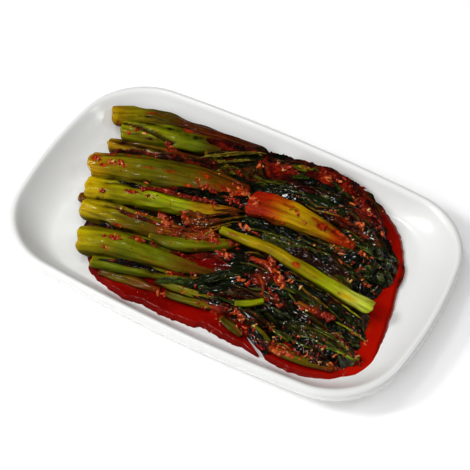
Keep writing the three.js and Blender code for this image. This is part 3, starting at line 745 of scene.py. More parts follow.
# spots on the stalks: x, y as seen, reach along, reach across, strength
smears = {
    "paste": [
        (-92.3, 8.5, 2.7, 2.5, 1.43), (-86.2, 6.1, 2.1, 1.5, 1.17), (-82.7, 8.9, 3.2, 1.4, 1.04),
        (-62.8, 16.7, 5.4, 1, 0.78), (-51.6, 19.7, 6.4, 1.2, 0.85), (-33.3, 26.7, 5.4, 3.1, 0.8),
        (-36.9, 16.5, 5.4, 1.8, 0.75), (-20.9, 23.8, 5.4, 3.1, 0.85), (-11.1, 24.4, 4.8, 3.7, 1.43),
        (-74.1, 20.4, 10.7, 0.9, 0.78), (-86.5, 15.1, 3.2, 1, 1.04), (-76.9, -9.9, 1.4, 1.4, 1.49),
        (-62.6, -2.7, 4.3, 1.2, 1.43), (-59.3, 2.4, 2.7, 1.2, 1.17), (-44.1, 9.2, 5.4, 1.5, 1.43),
        (-27.2, 10.6, 6.4, 1.5, 1.17), (-29.4, -38.9, 5.4, 1.2, 0.52), (-29.4, -0.9, 4.3, 1.5, 0.91),
        (-41.3, -8.4, 4.3, 1.8, 1.17), (-57.8, -26.2, 3.2, 1.4, 1.04), (-70.1, -26.9, 1.6, 1.2, 0.65),
        (-51.3, -23.4, 4.3, 1.1, 0.65), (-55.4, -34.2, 4.3, 1.4, 1.17), (-54.3, -42.1, 2.7, 1.8, 1.1),
        (-43.3, -28.3, 4.3, 1.5, 1.23), (-33.8, -36.8, 5.4, 1.2, 0.52), (-16.1, -40.5, 3.2, 1.2, 0.78),
        (-86.3, 32.9, 1.6, 1.8, 1.04), (-95.2, 35.6, 1.6, 4.3, 0.78), (-80.3, 52.6, 6.4, 1.2, 0.91),
        (-56.6, 50.4, 7.5, 1.8, 0.78), (39.3, -2.7, 3.8, 2, 1.04), (32, -3.8, 2.1, 1.5, 0.65),
        (50.8, -5.3, 3.2, 1.8, 0.59), (17.5, -0.5, 2.7, 1.2, 0.59), (0.8, -1.3, 4.3, 1.6, 0.65),
        (67, -8.1, 1.6, 1.5, 0.45), (17.6, 25.3, 1.3, 1, 1.04), (22.2, 29.5, 1.6, 1, 1.04),
        (29.1, 24.6, 1.6, 1.1, 0.91), (39.6, 26.6, 3.8, 2.5, 1.43), (33.6, 28.8, 2.7, 1.5, 1.04),
        (49.3, 26.6, 4.3, 3.1, 1.43), (56.8, 26.1, 4.3, 3.1, 1.43), (3.6, 24.1, 9, 9, 0.55),
        (18, 30.3, 7.5, 1.5, 0.78), (40.6, 34.2, 7.5, 1.8, 0.91), (-30.9, -17.5, 4, 1.4, 0.8),
        (-23.3, -15, 5, 1.6, 1), (-14.5, -12.2, 5, 1.8, 1.1), (-8, -9.6, 5, 2, 1.2),
    ],
    "gold": [
        (-99.4, 40.2, 1.6, 4.9, 0.9), (-84.9, -9.5, 2.7, 3.7, 1), (-79.4, -12.1, 2.1, 3.1, 0.7),
        (-79.6, -25.1, 2.7, 2.5, 0.8), (-70.3, -44.9, 1.3, 5.5, 0.9), (-89.2, -0.5, 2.1, 3.1, 0.8),
        (-92.8, 4.1, 1.6, 2.5, 0.8), (-85, 1, 4.3, 1.5, 0.7), (-81, 8.2, 4.3, 1.2, 0.6),
        (-77.8, -6.4, 1.6, 1.2, 0.9), (-20.7, 4.7, 7.5, 2.1, 0.8), (-73.9, -11.5, 2.1, 1, 0.8),
        (13.2, -0.5, 3.8, 2.1, 0.5), (31.1, 0.2, 6.4, 2.2, 0.5), (48.8, -2.7, 5.4, 2.1, 0.4),
        (20.3, 28.4, 8.6, 2.5, 0.9), (17.7, 23, 4.3, 1.8, 0.6), (40.2, 23.1, 5.4, 1.8, 0.6),
        (72.3, -8.1, 5.4, 2.5, 0.9),
    ],
    # dark: painted shade, dark bands in the gaps between the stalks and along their shaded edges
    "dark": [
        (-84.4, 25.5, 4.8, 2, 1.4), (-75.5, 27.1, 4.8, 1, 1.2), (-64.2, 30.1, 4.8, 1, 0.9),
        (-86.5, 15.1, 5.4, 1.5, 0.75), (-74.9, 20.7, 6.4, 1.6, 0.75), (-63, 25.7, 6.4, 1.6, 0.7),
        (-49.1, 28.5, 7.5, 1.4, 0.6), (-73.8, 0.8, 7.5, 1.1, 1.1), (-60, 6.8, 7.5, 1.2, 1.1),
        (-55.8, 5.1, 4.8, 1.6, 0.9), (-45.4, 6.9, 5.4, 1.8, 0.95), (-34.6, 8.1, 4.8, 1.6, 0.8),
        (-73.7, 34.9, 6.4, 1.1, 0.9), (-82.5, 34.2, 3.2, 0.9, 0.7), (-82.1, 49, 12.9, 0.7, 0.8),
        (-64.8, 50.9, 10.7, 1.8, 0.5), (-65, -27.9, 4.3, 1, 1.1), (-51.9, -27.6, 6.4, 1.1, 1.1),
        (-35.9, -28, 6.4, 1.2, 1.1), (-64.2, -14.8, 4.8, 1, 0.7), (-51.9, -11.9, 5.4, 1, 0.8),
        (-76.7, -15.4, 1.6, 1.4, 0.8), (-69.8, -14, 2.7, 0.9, 0.6), (-57.4, -49.2, 4.8, 0.7, 0.8),
        (-40.3, -46.5, 7.5, 1, 1.1), (-23.4, -43.8, 6.4, 1.1, 1), (-8.1, 26.9, 2.1, 3.1, 0.5),
        (-80.4, 43.9, 9.6, 0.9, 1), (-65.3, 47.2, 6.4, 1.4, 1.1), (-51.4, 48.2, 7.5, 1.8, 1),
        (22.5, 36, 8.6, 1.1, 0.8), (37.4, 35.6, 7.5, 1.2, 0.9), (50.6, 33.6, 5.4, 1.2, 0.9),
        (16.3, 17.5, 7.5, 0.9, 0.6), (-24.2, -26.8, 10.7, 1.2, 0.8), (-10.2, -19, 7.5, 1.2, 0.7),
        (-27, -13.6, 7, 1.1, 0.8), (-14, -8.6, 6, 1.1, 0.8),
    ],
}
# a smear ends this far from its spot, in mm, and its edge is ragged
smearForm = {"end": 12, "size": (3.4, 2.2, 2.2), "ragged": 0.9, "limits": (0.3, 1.5)}


def stalkSkin():
    sheet = Sheet("pickledStalk")
    at, flat = sheet.place(), sheet.flat()
    flesh = sheet.painted("flesh")
    stain, gold, paintedShade = sheet.parts(sheet.painted("marks"))
    fibre = sheet.speckle(sheet.stretched(flat, (0.45, 7.0, 1)), 1.6, 4.0, 0.6, 0.3)
    fineFibre = sheet.speckle(sheet.stretched(flat, (1.2, 26.0, 1)), 1.5, 3.0)
    cloud = sheet.speckle(at, 95.0, 4.0, 0.6)
    blot = sheet.speckle(at, 260.0, 4.0, 0.65)
    base = sheet.mix(fibre.between(0.42, 0.7) * 0.5, flesh, sheet.times(flesh, (0.42, 0.42, 0.3)))
    base = sheet.mix(fineFibre.between(0.5, 0.72) * 0.35, base, sheet.mix(0.5, base, tone(206, 196, 40)))
    base = sheet.mix(cloud.between(0.52, 0.74) * 0.5, base, sheet.mix(0.6, base, tone(104, 50, 3)))
    base = sheet.mix((gold * (fibre * 0.9 + 0.45)).clamp(), base, tone(*golden))
    # painted shade: where the marks say the stalk lies in shade, its colour turns near black and its coat is
    # thinned
    base = sheet.mix((paintedShade * (0.7 + cloud * 0.5)).clamp(), base, tone(24, 10, 2))
    patch = sheet.speckle(sheet.stretched(flat, (1.3, 4.0, 1)), 2.2, 3.0, 0.6, 0.5)
    soft = (stain * 1.3 + patch - 1.0).between(-0.35, 0.75)
    base = sheet.mix(soft * 0.85, base, sheet.mix(fibre, tone(84, 24, 3), tone(150, 62, 8)))
    paste = (stain * 1.3 + blot * 0.9 - 1.16).between(-0.1, 0.4)
    tint = sheet.mix(sheet.speckle(at, 380.0, 3.0).between(0.4, 0.6), tone(128, 22, 2), tone(212, 80, 14))
    base = sheet.times(sheet.mix(paste * 0.9, base, tint), (0.72, 0.72, 0.16))
    ridge = sheet.bump(fibre, 0.3, 0.0008, sheet.bump(blot, 0.75, 0.0006))
    return sheet.finish(Base_Color=base, Roughness=cloud * 0.3 + 0.32,
                        Normal=sheet.bump(fineFibre, 0.22, 0.0004, ridge), Specular_IOR_Level=0.12,
                        Coat_Weight=(cloud * 2.2 - 0.85 - paintedShade * 0.5).clamp(), Coat_Roughness=0.1)


pickledStalk = stalkSkin()
stalkForm = {
    "wide": 9, "around": (64, 28), "step": (0.75, 0.9),  # for wide stalks, then for thin ones
    "caps": (0, 0.4, 0.66, 0.84, 0.94, 0.985), "capDepth": ((0.28, 3.4), (0.16, 1.8)),
    "squareness": 2.3, "torn": 0.12, "stain": 0.2, "rim": (0.3, 2.6), "nudge": 0.004,
    "ribHeight": 0.15, "ribSize": (16, 1.15), "lumpHeight": 0.8, "lumpSize": (9, 2),  # along and around
}


def stalkFrame(stalk, ts):  # the middle line of a stalk and its three directions
    path, nudge = threadThrough(stalk["path"], ts), stalkForm["nudge"]
    after, before = (threadThrough(stalk["path"], np.clip(ts + step, 0, 1)) for step in (nudge, -nudge))
    tangent = unit(after - before)
    side = unit(np.cross((0, 0, 1), tangent))
    return path, tangent, side, np.cross(tangent, side)


def stalkRelief(stalk, run, angles, halfWide):  # fine ribs along the stalk and broad lumps
    (ribLong, ribWide), (lumpLong, lumpRound) = stalkForm["ribSize"], stalkForm["lumpSize"]
    flat = np.zeros((len(angles), len(run), 3))
    flat[..., 0] = run[None] / ribLong
    flat[..., 1] = angles[:, None] * halfWide.mean() / ribWide
    ribs = grain(flat, 1.0, stalk["seed"])
    drift = 2.4 * grain(flat * (0.4, 0.3, 1), 1.0, stalk["seed"] + 8)
    ribs = 0.6 * ribs + 0.5 * np.cos(angles[:, None] * round(halfWide.max() * 1.5) + drift)
    flat[..., 0] = run[None] / lumpLong
    flat[..., 1] = np.cos(angles)[:, None] * lumpRound
    flat[..., 2] = np.sin(angles)[:, None] * lumpRound
    return ribs, grain(flat, 1.0, stalk["seed"] + 3)


def stalkHollows(stalk, ts, u, v, lumps):  # how deep the channels are
    dips = np.zeros((len(u), len(ts)))
    for t0, u0, t1, u1, deep, wideness in stalk.get("channels", ()):
        fade = ease(ts, t0 - 0.05, t0 + 0.02) * (1 - ease(ts, t1 - 0.02, t1 + 0.07))
        middle = lerp(u0, u1, np.clip((ts - t0) / (t1 - t0), 0, 1)) + 0.05 * lumps.mean(axis=0)
        hollow = np.exp(-((u[:, None] - middle[None]) / wideness) ** 2) * (np.maximum(v, 0) ** 0.5)[:, None]
        dips = np.maximum(dips, deep * hollow * fade[None])
    return dips


def stalkPlaces(stalk, ts, ks, angles):  # points of a stalk: share along, cap share, angle
    path, tangent, side, up = stalkFrame(stalk, ts)
    halfWide, halfThick = spread(stalk["width"], ts) / 2, spread(stalk["thick"], ts) / 2
    u, v = (np.sign(c) * np.abs(c) ** (2 / stalkForm["squareness"]) for c in (np.cos(angles), np.sin(angles)))
    run = ts * lengthOf(path)
    ribs, lumps = stalkRelief(stalk, run, angles, halfWide)
    size = halfThick[None]
    rough = ribs * stalkForm["ribHeight"] + lumps * stalkForm["lumpHeight"] * stalk.get("lumpy", 1)
    swell = 1 + rough / np.maximum(size, 1.6) * np.minimum(size / 4, 1)
    dips = stalkHollows(stalk, ts, u, v, lumps)
    wide = u[:, None] * ks[None] * swell * halfWide[None]
    height = v[:, None] * ks[None] * swell * halfThick[None] - dips * ks[None]
    first, last = stalk.get("cut", (0, 0))
    tilt = np.where(ts < 0.5, first * (1 - ease(ts, 0, 0.2)), last * ease(ts, 0.8, 1))
    torn = grain(np.stack([np.cos(angles), np.sin(angles), angles * 0 + stalk["seed"]], 1) * 1.4, 1.0)
    torn = torn[:, None] * ks[None] * stalkForm["torn"] * halfWide.mean()
    torn = torn * ((1 - ease(ts, 0, 0.1)) - ease(ts, 0.9, 1))[None]
    places = path[None] + side[None] * wide[..., None] + up[None] * height[..., None] \
        + tangent[None] * (tilt[None] * height + torn * 2.5)[..., None]
    return places, tangent, run, u, v, ribs, dips


def smeared(kind, places, tangent):  # how much of one kind of spot each point of a stalk carries
    spots, found = asSeen(places), np.zeros(places.shape[:2])
    for x, y, along, across, strength in smears[kind]:
        dx, dy = spots[..., 0] - x, spots[..., 1] - y
        if np.hypot(dx, dy).min() > smearForm["end"]:
            continue
        a = dx * tangent[:, 0] + dy * tangent[:, 1]
        b = dy * tangent[:, 0] - dx * tangent[:, 1]
        found = np.maximum(found, strength * np.exp(-(a / along) ** 2 - (b / across) ** 2))
    rag = 1 + smearForm["ragged"] * grain(places, smearForm["size"], 4)
    return found * np.clip(rag, *smearForm["limits"])


def paintStalk(piece, stalk, ts, places, tangent, run, u, v, ribs, dips):
    seed, large = stalk["seed"], max(stalk["width"]) > 7
    # painted light and shade: each stalk is painted lighter on its top and darker on its flanks, and darker
    # in the grooves between its ribs, on top of a random change of tone
    paintedTopLight = 0.5 + 0.66 * ease(v, 0.05, 0.97)[:, None]
    shade = paintedTopLight * (1.0 + 0.26 * ribs + 0.42 * grain(places, (22, 5, 5), seed + 2))
    flesh = spread([tone(*colour) for colour in stalk["flesh"]], ts)
    paint(piece, "flesh", flesh[None] * np.clip(shade, 0.3, 1.6)[..., None])
    stain = np.maximum(smeared("paste", places, tangent), stalk.get("stain", 0))
    onLeft = large and places[..., 0].min() < -50
    soak = stalkForm["stain"] + (0.26 * ease(ts, 0.35, 0.95) if onLeft else 0)
    stain = np.maximum(stain, soak + 0.3 * grain(places, (12, 5, 5), seed + 5)) * (v > -0.5)[:, None]
    rim = (1 - ease(run, *stalkForm["rim"]))[None] * (0.8 + 0.5 * grain(places, 3, seed))
    gold = np.maximum(smeared("gold", places, tangent), rim * stalk.get("rim", 1 if large else 0.3))
    # painted shade: darker towards the underside and the outer flanks, in the grooves between ribs, in the
    # channels and along the dark smears in the gaps
    under = 1 - ease(v + 0.25 * grain(places, 6, seed + 1).mean(axis=1), -0.55, 0.45)
    under = np.maximum(under, 0.55 * ease(u, 0.8, 1.0))
    paintedShade = np.maximum(under[:, None], 0.35 * ease(-ribs, 0.35, 0.9))
    paintedShade = np.maximum(np.maximum(paintedShade, smeared("dark", places, tangent)), 0.9 * ease(dips, 0.2, 1.3))
    paint(piece, "marks", np.clip(np.stack([stain, gold, paintedShade], -1), 0, 1.4))


def makeStalk(name, stalk, seed):
    stalk["seed"] = seed
    length, widest = lengthOf(np.array(stalk["path"], float)), max(stalk["width"])
    kind = 0 if widest > stalkForm["wide"] else 1
    around, step = stalkForm["around"][kind], stalkForm["step"][kind]
    caps = np.array(stalkForm["caps"])
    (round1, most1), (round2, most2) = stalkForm["capDepth"]
    depth = ((1 - np.sqrt(1 - caps ** 2)) * min(widest * round1, most1)
             + (1 - caps) ** 2 * min(widest * round2, most2)) / length
    start, end = depth, 1 - depth[::-1]
    body = np.linspace(start[-1], end[0], int(length / step))[1:-1]
    ts = np.r_[start, body, end]
    ks = np.r_[caps, np.ones(len(body)), caps[::-1]]
    angles = np.linspace(-math.pi / 2, 1.5 * math.pi, around + 1)
    places, tangent, run, u, v, ribs, dips = stalkPlaces(stalk, ts, ks, angles)
    places[-1] = places[0]
    piece = surface(name + "_flesh", places)
    turns = (np.linspace(0, 1, around + 1) * widest / 10 * 3)[:, None]
    setUv(piece, *(np.broadcast_to(values, places.shape[:2]) for values in (run / 10, turns)))
    paintStalk(piece, stalk, ts, places, tangent, run, u, v, ribs, dips)
    return serveClosed(piece, [name], pickledStalk)


stalkPieces = {name: makeStalk(name, stalk, k) for k, (name, stalk) in enumerate(stalks.items())}
print("stalks made:", len(stalkPieces))
saucePiece = makeSauce()
print("sauce made")


heap = {
    "centre": (34, 6), "points": 300, "low": 9.9, "rise": 7.2,
    "right": (45, 95), "rightShare": 0.15, "left": (-45, -5), "leftShare": 0.45, "near": (-48, -12),
    "flow": (17, -9), "flowFrom": (-40, 90),  # headings in degrees, at the left and at the right
    "corner": ((50, 92), (25, 55)), "cornerTurn": 26,  # how the far right corner turns away
    "outline": [
        (91, 14), (91, 22), (88, 30), (78, 37.5), (72, 45), (67, 53), (61, 60), (50, 65), (28, 67.5),
        (7, 67), (-14, 61), (-33, 53), (-40, 36), (-37, 24), (-47, 11), (-34, 1), (-29, -12), (-26, -30),
        (-12, -42), (8, -47.5), (30, -49), (51, -53), (76, -51), (93, -45.5), (95.5, -31), (88, -12),
        (85, 3),
    ],
}
onTop = ["stalk_crossing", "midrib_red", "chili_strip", "chili_strip_thin", "petiole_curved",
         "stem_orange", "stem_cut_short"]


def heapTop(x, y):  # its rise fades to the right, to the left and to the near side
    right = lerp(1, heap["rightShare"], ease(x, *heap["right"]))
    left = lerp(heap["leftShare"], 1, ease(x, *heap["left"]))
    return heap["low"] + heap["rise"] * right * left * ease(y, *heap["near"])


def flow(x, y):  # heading of the leaves, in radians
    cornerX, cornerY = heap["corner"]
    turn = lerp(*heap["flow"], ease(x, *heap["flowFrom"]))
    turn = turn - heap["cornerTurn"] * ease(x, *cornerX) * ease(y, *cornerY)
    return np.radians(turn)


reliefGrid = {"corner": (-130, -85), "cell": 0.8, "count": (326, 214), "walls": (78, 50), "above": 40}


class Relief:  # heights over the plate on a fine square grid
    def __init__(self, fill):
        self.z = np.full(reliefGrid["count"], float(fill))

    def cellsOf(self, x, y):
        return [np.clip((at - low) / reliefGrid["cell"], 0, count - 2)
                for at, low, count in zip((x, y), reliefGrid["corner"], reliefGrid["count"])]

    def press(self, x, y, z, how):
        i, j = self.cellsOf(np.ravel(x), np.ravel(y))
        for di in (0, 1):
            for dj in (0, 1):
                how.at(self.z, (i.astype(int) + di, j.astype(int) + dj), np.ravel(z))

    def read(self, x, y):
        i, j = self.cellsOf(x, y)
        a, b = i.astype(int), j.astype(int)
        s, t = i - a, j - b
        z = self.z
        return (z[a, b] * (1 - s) * (1 - t) + z[a + 1, b] * s * (1 - t)
                + z[a, b + 1] * (1 - s) * t + z[a + 1, b + 1] * s * t)

    def blurred(self, times):
        copy = Relief(0)
        z = self.z
        for _ in range(times):
            p = np.pad(z, 1, mode="edge")
            z = (p[1:-1, 1:-1] * 2 + p[2:, 1:-1] + p[:-2, 1:-1] + p[1:-1, 2:] + p[1:-1, :-2]) / 6
        copy.z = z
        return copy


ground, roof = Relief(sauce["level"] - 0.6), Relief(90)


def feelStalks():  # leaves lie over most stalks, and under those on top
    for name, piece in stalkPieces.items():
        spots = np.empty(len(piece.data.vertices) * 3)
        piece.data.vertices.foreach_get("co", spots)
        relief, how = (roof, np.minimum) if name in onTop else (ground, np.maximum)
        relief.press(*(spots.reshape(-1, 3) / mm).T, how)


def feelPlate():  # they also lie on the far wall and the right-hand wall of the plate
    plateTree = BVHTree.FromObject(platePiece, bpy.context.evaluated_depsgraph_get())
    wallX, wallY = reliefGrid["walls"]
    for i, j in np.ndindex(*ground.z.shape):
        x, y = np.array(reliefGrid["corner"]) + np.array([i, j]) * reliefGrid["cell"]
        if x > wallX or y > wallY:
            below = plateTree.ray_cast(Vector((x, y, reliefGrid["above"])) * mm, Vector((0, 0, -1)))[0]
            ground.z[i, j] = max(ground.z[i, j], below.z / mm if below else 0)


feelStalks()
feelPlate()
roof = roof.blurred(1)


def leafSkin():
    sheet = Sheet("pickledLeaf")
    at, flat = sheet.place(), sheet.flat()
    leaf = sheet.painted("flesh")
    stain, light, rough = sheet.parts(sheet.painted("marks"))  # rough: bubbly up to 1, matte above
    streak = sheet.speckle(sheet.stretched(flat, (1.8, 10.0, 1)), 1.5, 5.0, 0.65, 0.6)
    cloud = sheet.speckle(at, 120.0, 4.0, 0.6)
    blot = sheet.speckle(at, 420.0, 4.0, 0.62)
    crinkle = sheet.cells(sheet.stretched(flat, (7.0, 11.0, 1)), 1.5)
    base = sheet.mix(streak.between(0.4, 0.66) * 0.75, sheet.times(leaf, (0.36, 0.33, 0.3)),
                     sheet.times(leaf, (1.6, 1.6, 1.1)))
    # light: pale veins, partly painted highlights on the ridges
    base = sheet.mix((light * streak.between(0.3, 0.6)).clamp(), base, tone(110, 118, 40))
    smear = (stain * 1.4 + blot * 1.1 - 1.05).between(-0.05, 0.3)
    tint = sheet.mix(cloud.between(0.4, 0.62), tone(62, 8, 3), tone(146, 34, 8))
    base = sheet.mix(smear * 0.85, base, tint)
    bubbles = sheet.cells(sheet.stretched(flat, (7.0, 9.0, 1)), 1.1) * rough.clamp()
    veins = sheet.bump(crinkle, 0.5, 0.0007, sheet.bump(1 - bubbles, 0.9, 0.001))
    ridge = sheet.bump(streak, 0.8, 0.0012, veins)
    matte = (rough - 1).clamp()
    return sheet.finish(Base_Color=base, Roughness=(blot * 0.3 + 0.2 + matte * 0.5).clamp(),
                        Normal=sheet.bump(blot, 0.55, 0.0005, ridge), Specular_IOR_Level=0.2,
                        Coat_Weight=(cloud * 1.2 + 0.1 + rough * 0.2 - matte * 1.6).clamp(),
                        Coat_Roughness=0.1)


pickledLeaf = leafSkin()
# zones of the leaves: x, y, reach x, reach y, strength
pepperZones = [  # stained red
    (-6, -21, 14, 4, 1.0), (2, 48, 10, 6, 0.9), (40, 59, 24, 6, 0.85), (60, 45, 16, 9, 0.6),
    (28, -20, 9, 7, 0.7), (64, -51, 24, 4, 0.7), (20, -47, 14, 4, 0.7), (68, 33, 12, 7, 0.4),
    (60, -24, 12, 4, 0.6), (-20, -7, 16, 6, 0.5),
]
# painted light and shade: the leaves in each zone are painted lighter or darker
shadeZones = [  # how many times lighter or darker
    (77, 17, 13, 11, 2.3), (83, -31, 13, 15, 2.1), (59, -32, 12, 9, 0.38), (30, 14, 12, 6, 0.4),
    (24, -26, 9, 7, 0.32), (67, 34, 11, 7, 0.5), (36, -21, 9, 6, 0.45), (46, -15, 8, 6, 0.5),
    (-22, -14, 17, 6, 1.9),
]
dullZones = [(47, -55, 8, 4, 1.8), (36, 5.5, 9, 4.5, 1.6)]  # not wet


def nearZone(x, y, cx, cy, rx, ry):  # 1 at the middle of a zone, falling off round it
    return np.exp(-((x - cx) / rx) ** 2 - ((y - cy) / ry) ** 2)


def strongest(zones, x, y, least):
    for *zone, strength in zones:
        least = np.maximum(least, strength * nearZone(x, y, *zone))
    return least


def pepper(x, y):
    return strongest(pepperZones, x, y, np.full(np.shape(x), 0.15))


def shadeAt(x, y):
    return 1 + sum((times - 1) * nearZone(x, y, *zone) for *zone, times in shadeZones)


core = {"shares": (*np.linspace(0, 0.93, 62), 0.96, 0.98, 0.995, 1.0), "foot": 7.4, "below": 2.0,
        "folds": 1.6, "foldSize": (12, 3.2), "fine": 0.5, "fineSize": (5, 1.6), "colour": (30, 30, 8)}


def makeCore():  # what the leaves lie on, dark and folded along their flow
    shares = np.array(core["shares"])
    x, y = fan(evenRing(heap["outline"], heap["points"]), np.array(heap["centre"]), shares)
    turn = flow(x, y)
    run = x * np.cos(turn) + y * np.sin(turn)
    across = y * np.cos(turn) - (x - 30) * np.sin(turn)
    spots = np.stack([run, across, run * 0], -1)
    folds = grain(spots, (*core["foldSize"], 1), 2)
    fine = 1 - 2.4 * np.abs(grain(spots, (*core["fineSize"], 1), 5))
    edge = 1 - ease(shares, 0.8, 1.0)[:, None]
    z = lerp(core["foot"], heapTop(x, y) - core["below"], edge)
    z = z + (folds * core["folds"] + fine * core["fine"]) * (0.3 + 0.7 * edge)
    z = np.maximum(z, ground.read(x, y) * (shares < 0.99)[:, None] - 0.6)
    z = np.minimum(z, roof.read(x, y) - 0.4)
    piece = surface("leaf_core", np.stack([x, y, z], -1))
    setUv(piece, run / 10, across / 10)
    # painted shade: darker in the creases of the fine folds, lighter on their ridges
    paint(piece, "flesh", np.array(tone(*core["colour"])) * (0.2 + np.clip(fine, 0, 1))[..., None])
    matte = x * 0 + 2 * ease(shares, 0.5, 0.75)[:, None]
    paint(piece, "marks", np.stack([pepper(x, y) + 0.4 * (1 - edge), x * 0, matte], -1))
    serveClosed(piece, ["leaf_heap"], pickledLeaf)
    inside = shares < 0.995
    ground.press(x[inside], y[inside], z[inside], np.maximum)
    return piece


leafForm = {
    "along": 64, "across": 12, "thickness": 0.35, "count": 112, "tries": 6000, "seed": 7, "bend": 30,
    "length": (22, 54), "width": (3.4, 9), "pleat": (1.6, 3.0), "pleatHeight": 0.5, "crumple": 0.8,
    "field": ((-30, 94), (-52, 66)), "veins": (0, 0, 0.5, 0.9),
    "wave": (22, 60, 1), "fold": (12, 3.0, 1), "crease": (6, 1.8, 1), "pucker": (2.8, 1.1, 1),
    "bubble": (3.2, 2.8, 1), "seam": (1.9, 1.5, 1),  # sizes of the relief, along and across
    "droop": 0.9, "endFade": 5, "pressed": 0.45, "dryReach": (41, 47), "dryFrom": (26, 33),
    "savoyX": 56, "savoyY": 34, "savoyShare": 0.5,  # where the bubbly leaves lie
    "leftEnd": [(-52, -2), (-38, -6), (-24, 0), (-12, 8), (0, 2), (12, -6), (28, -8), (45, -22),
                (62, -30)],  # y and x of the line where the leaves start
}
rimLeaves = {  # crumpled ends along the right-hand shore
    "ends": [(70, 42), (78, 35), (85, 29), (87, 23), (87, 16), (86, 10), (85, 3), (86, -5), (88, -12),
             (90, -18), (92, -24), (93, -30), (94, -36), (93, -41), (90, -46), (82, -49), (61, 49), (55, 56)],
    "length": (20, 34), "width": (7, 12), "savoy": (0.3, 0.95), "veins": (0, 0.6), "rise": 3.5,
}
strands = {  # loose veins and torn edges
    "count": 46, "length": (9, 26), "width": (0.8, 1.7), "along": 36, "across": 4, "bend": 60,
    "field": ((-20, 90), (-50, 62)), "widest": 1.6, "rise": 5,
    "tones": [(110, 116, 26), (84, 96, 20), (122, 90, 20), (60, 74, 16), (96, 40, 10)],
}
leafTones = [(16, 22, 8), (28, 38, 12), (12, 18, 8), (40, 54, 14), (48, 48, 12), (48, 18, 8),
             (22, 30, 10), (76, 78, 20), (62, 12, 6)]
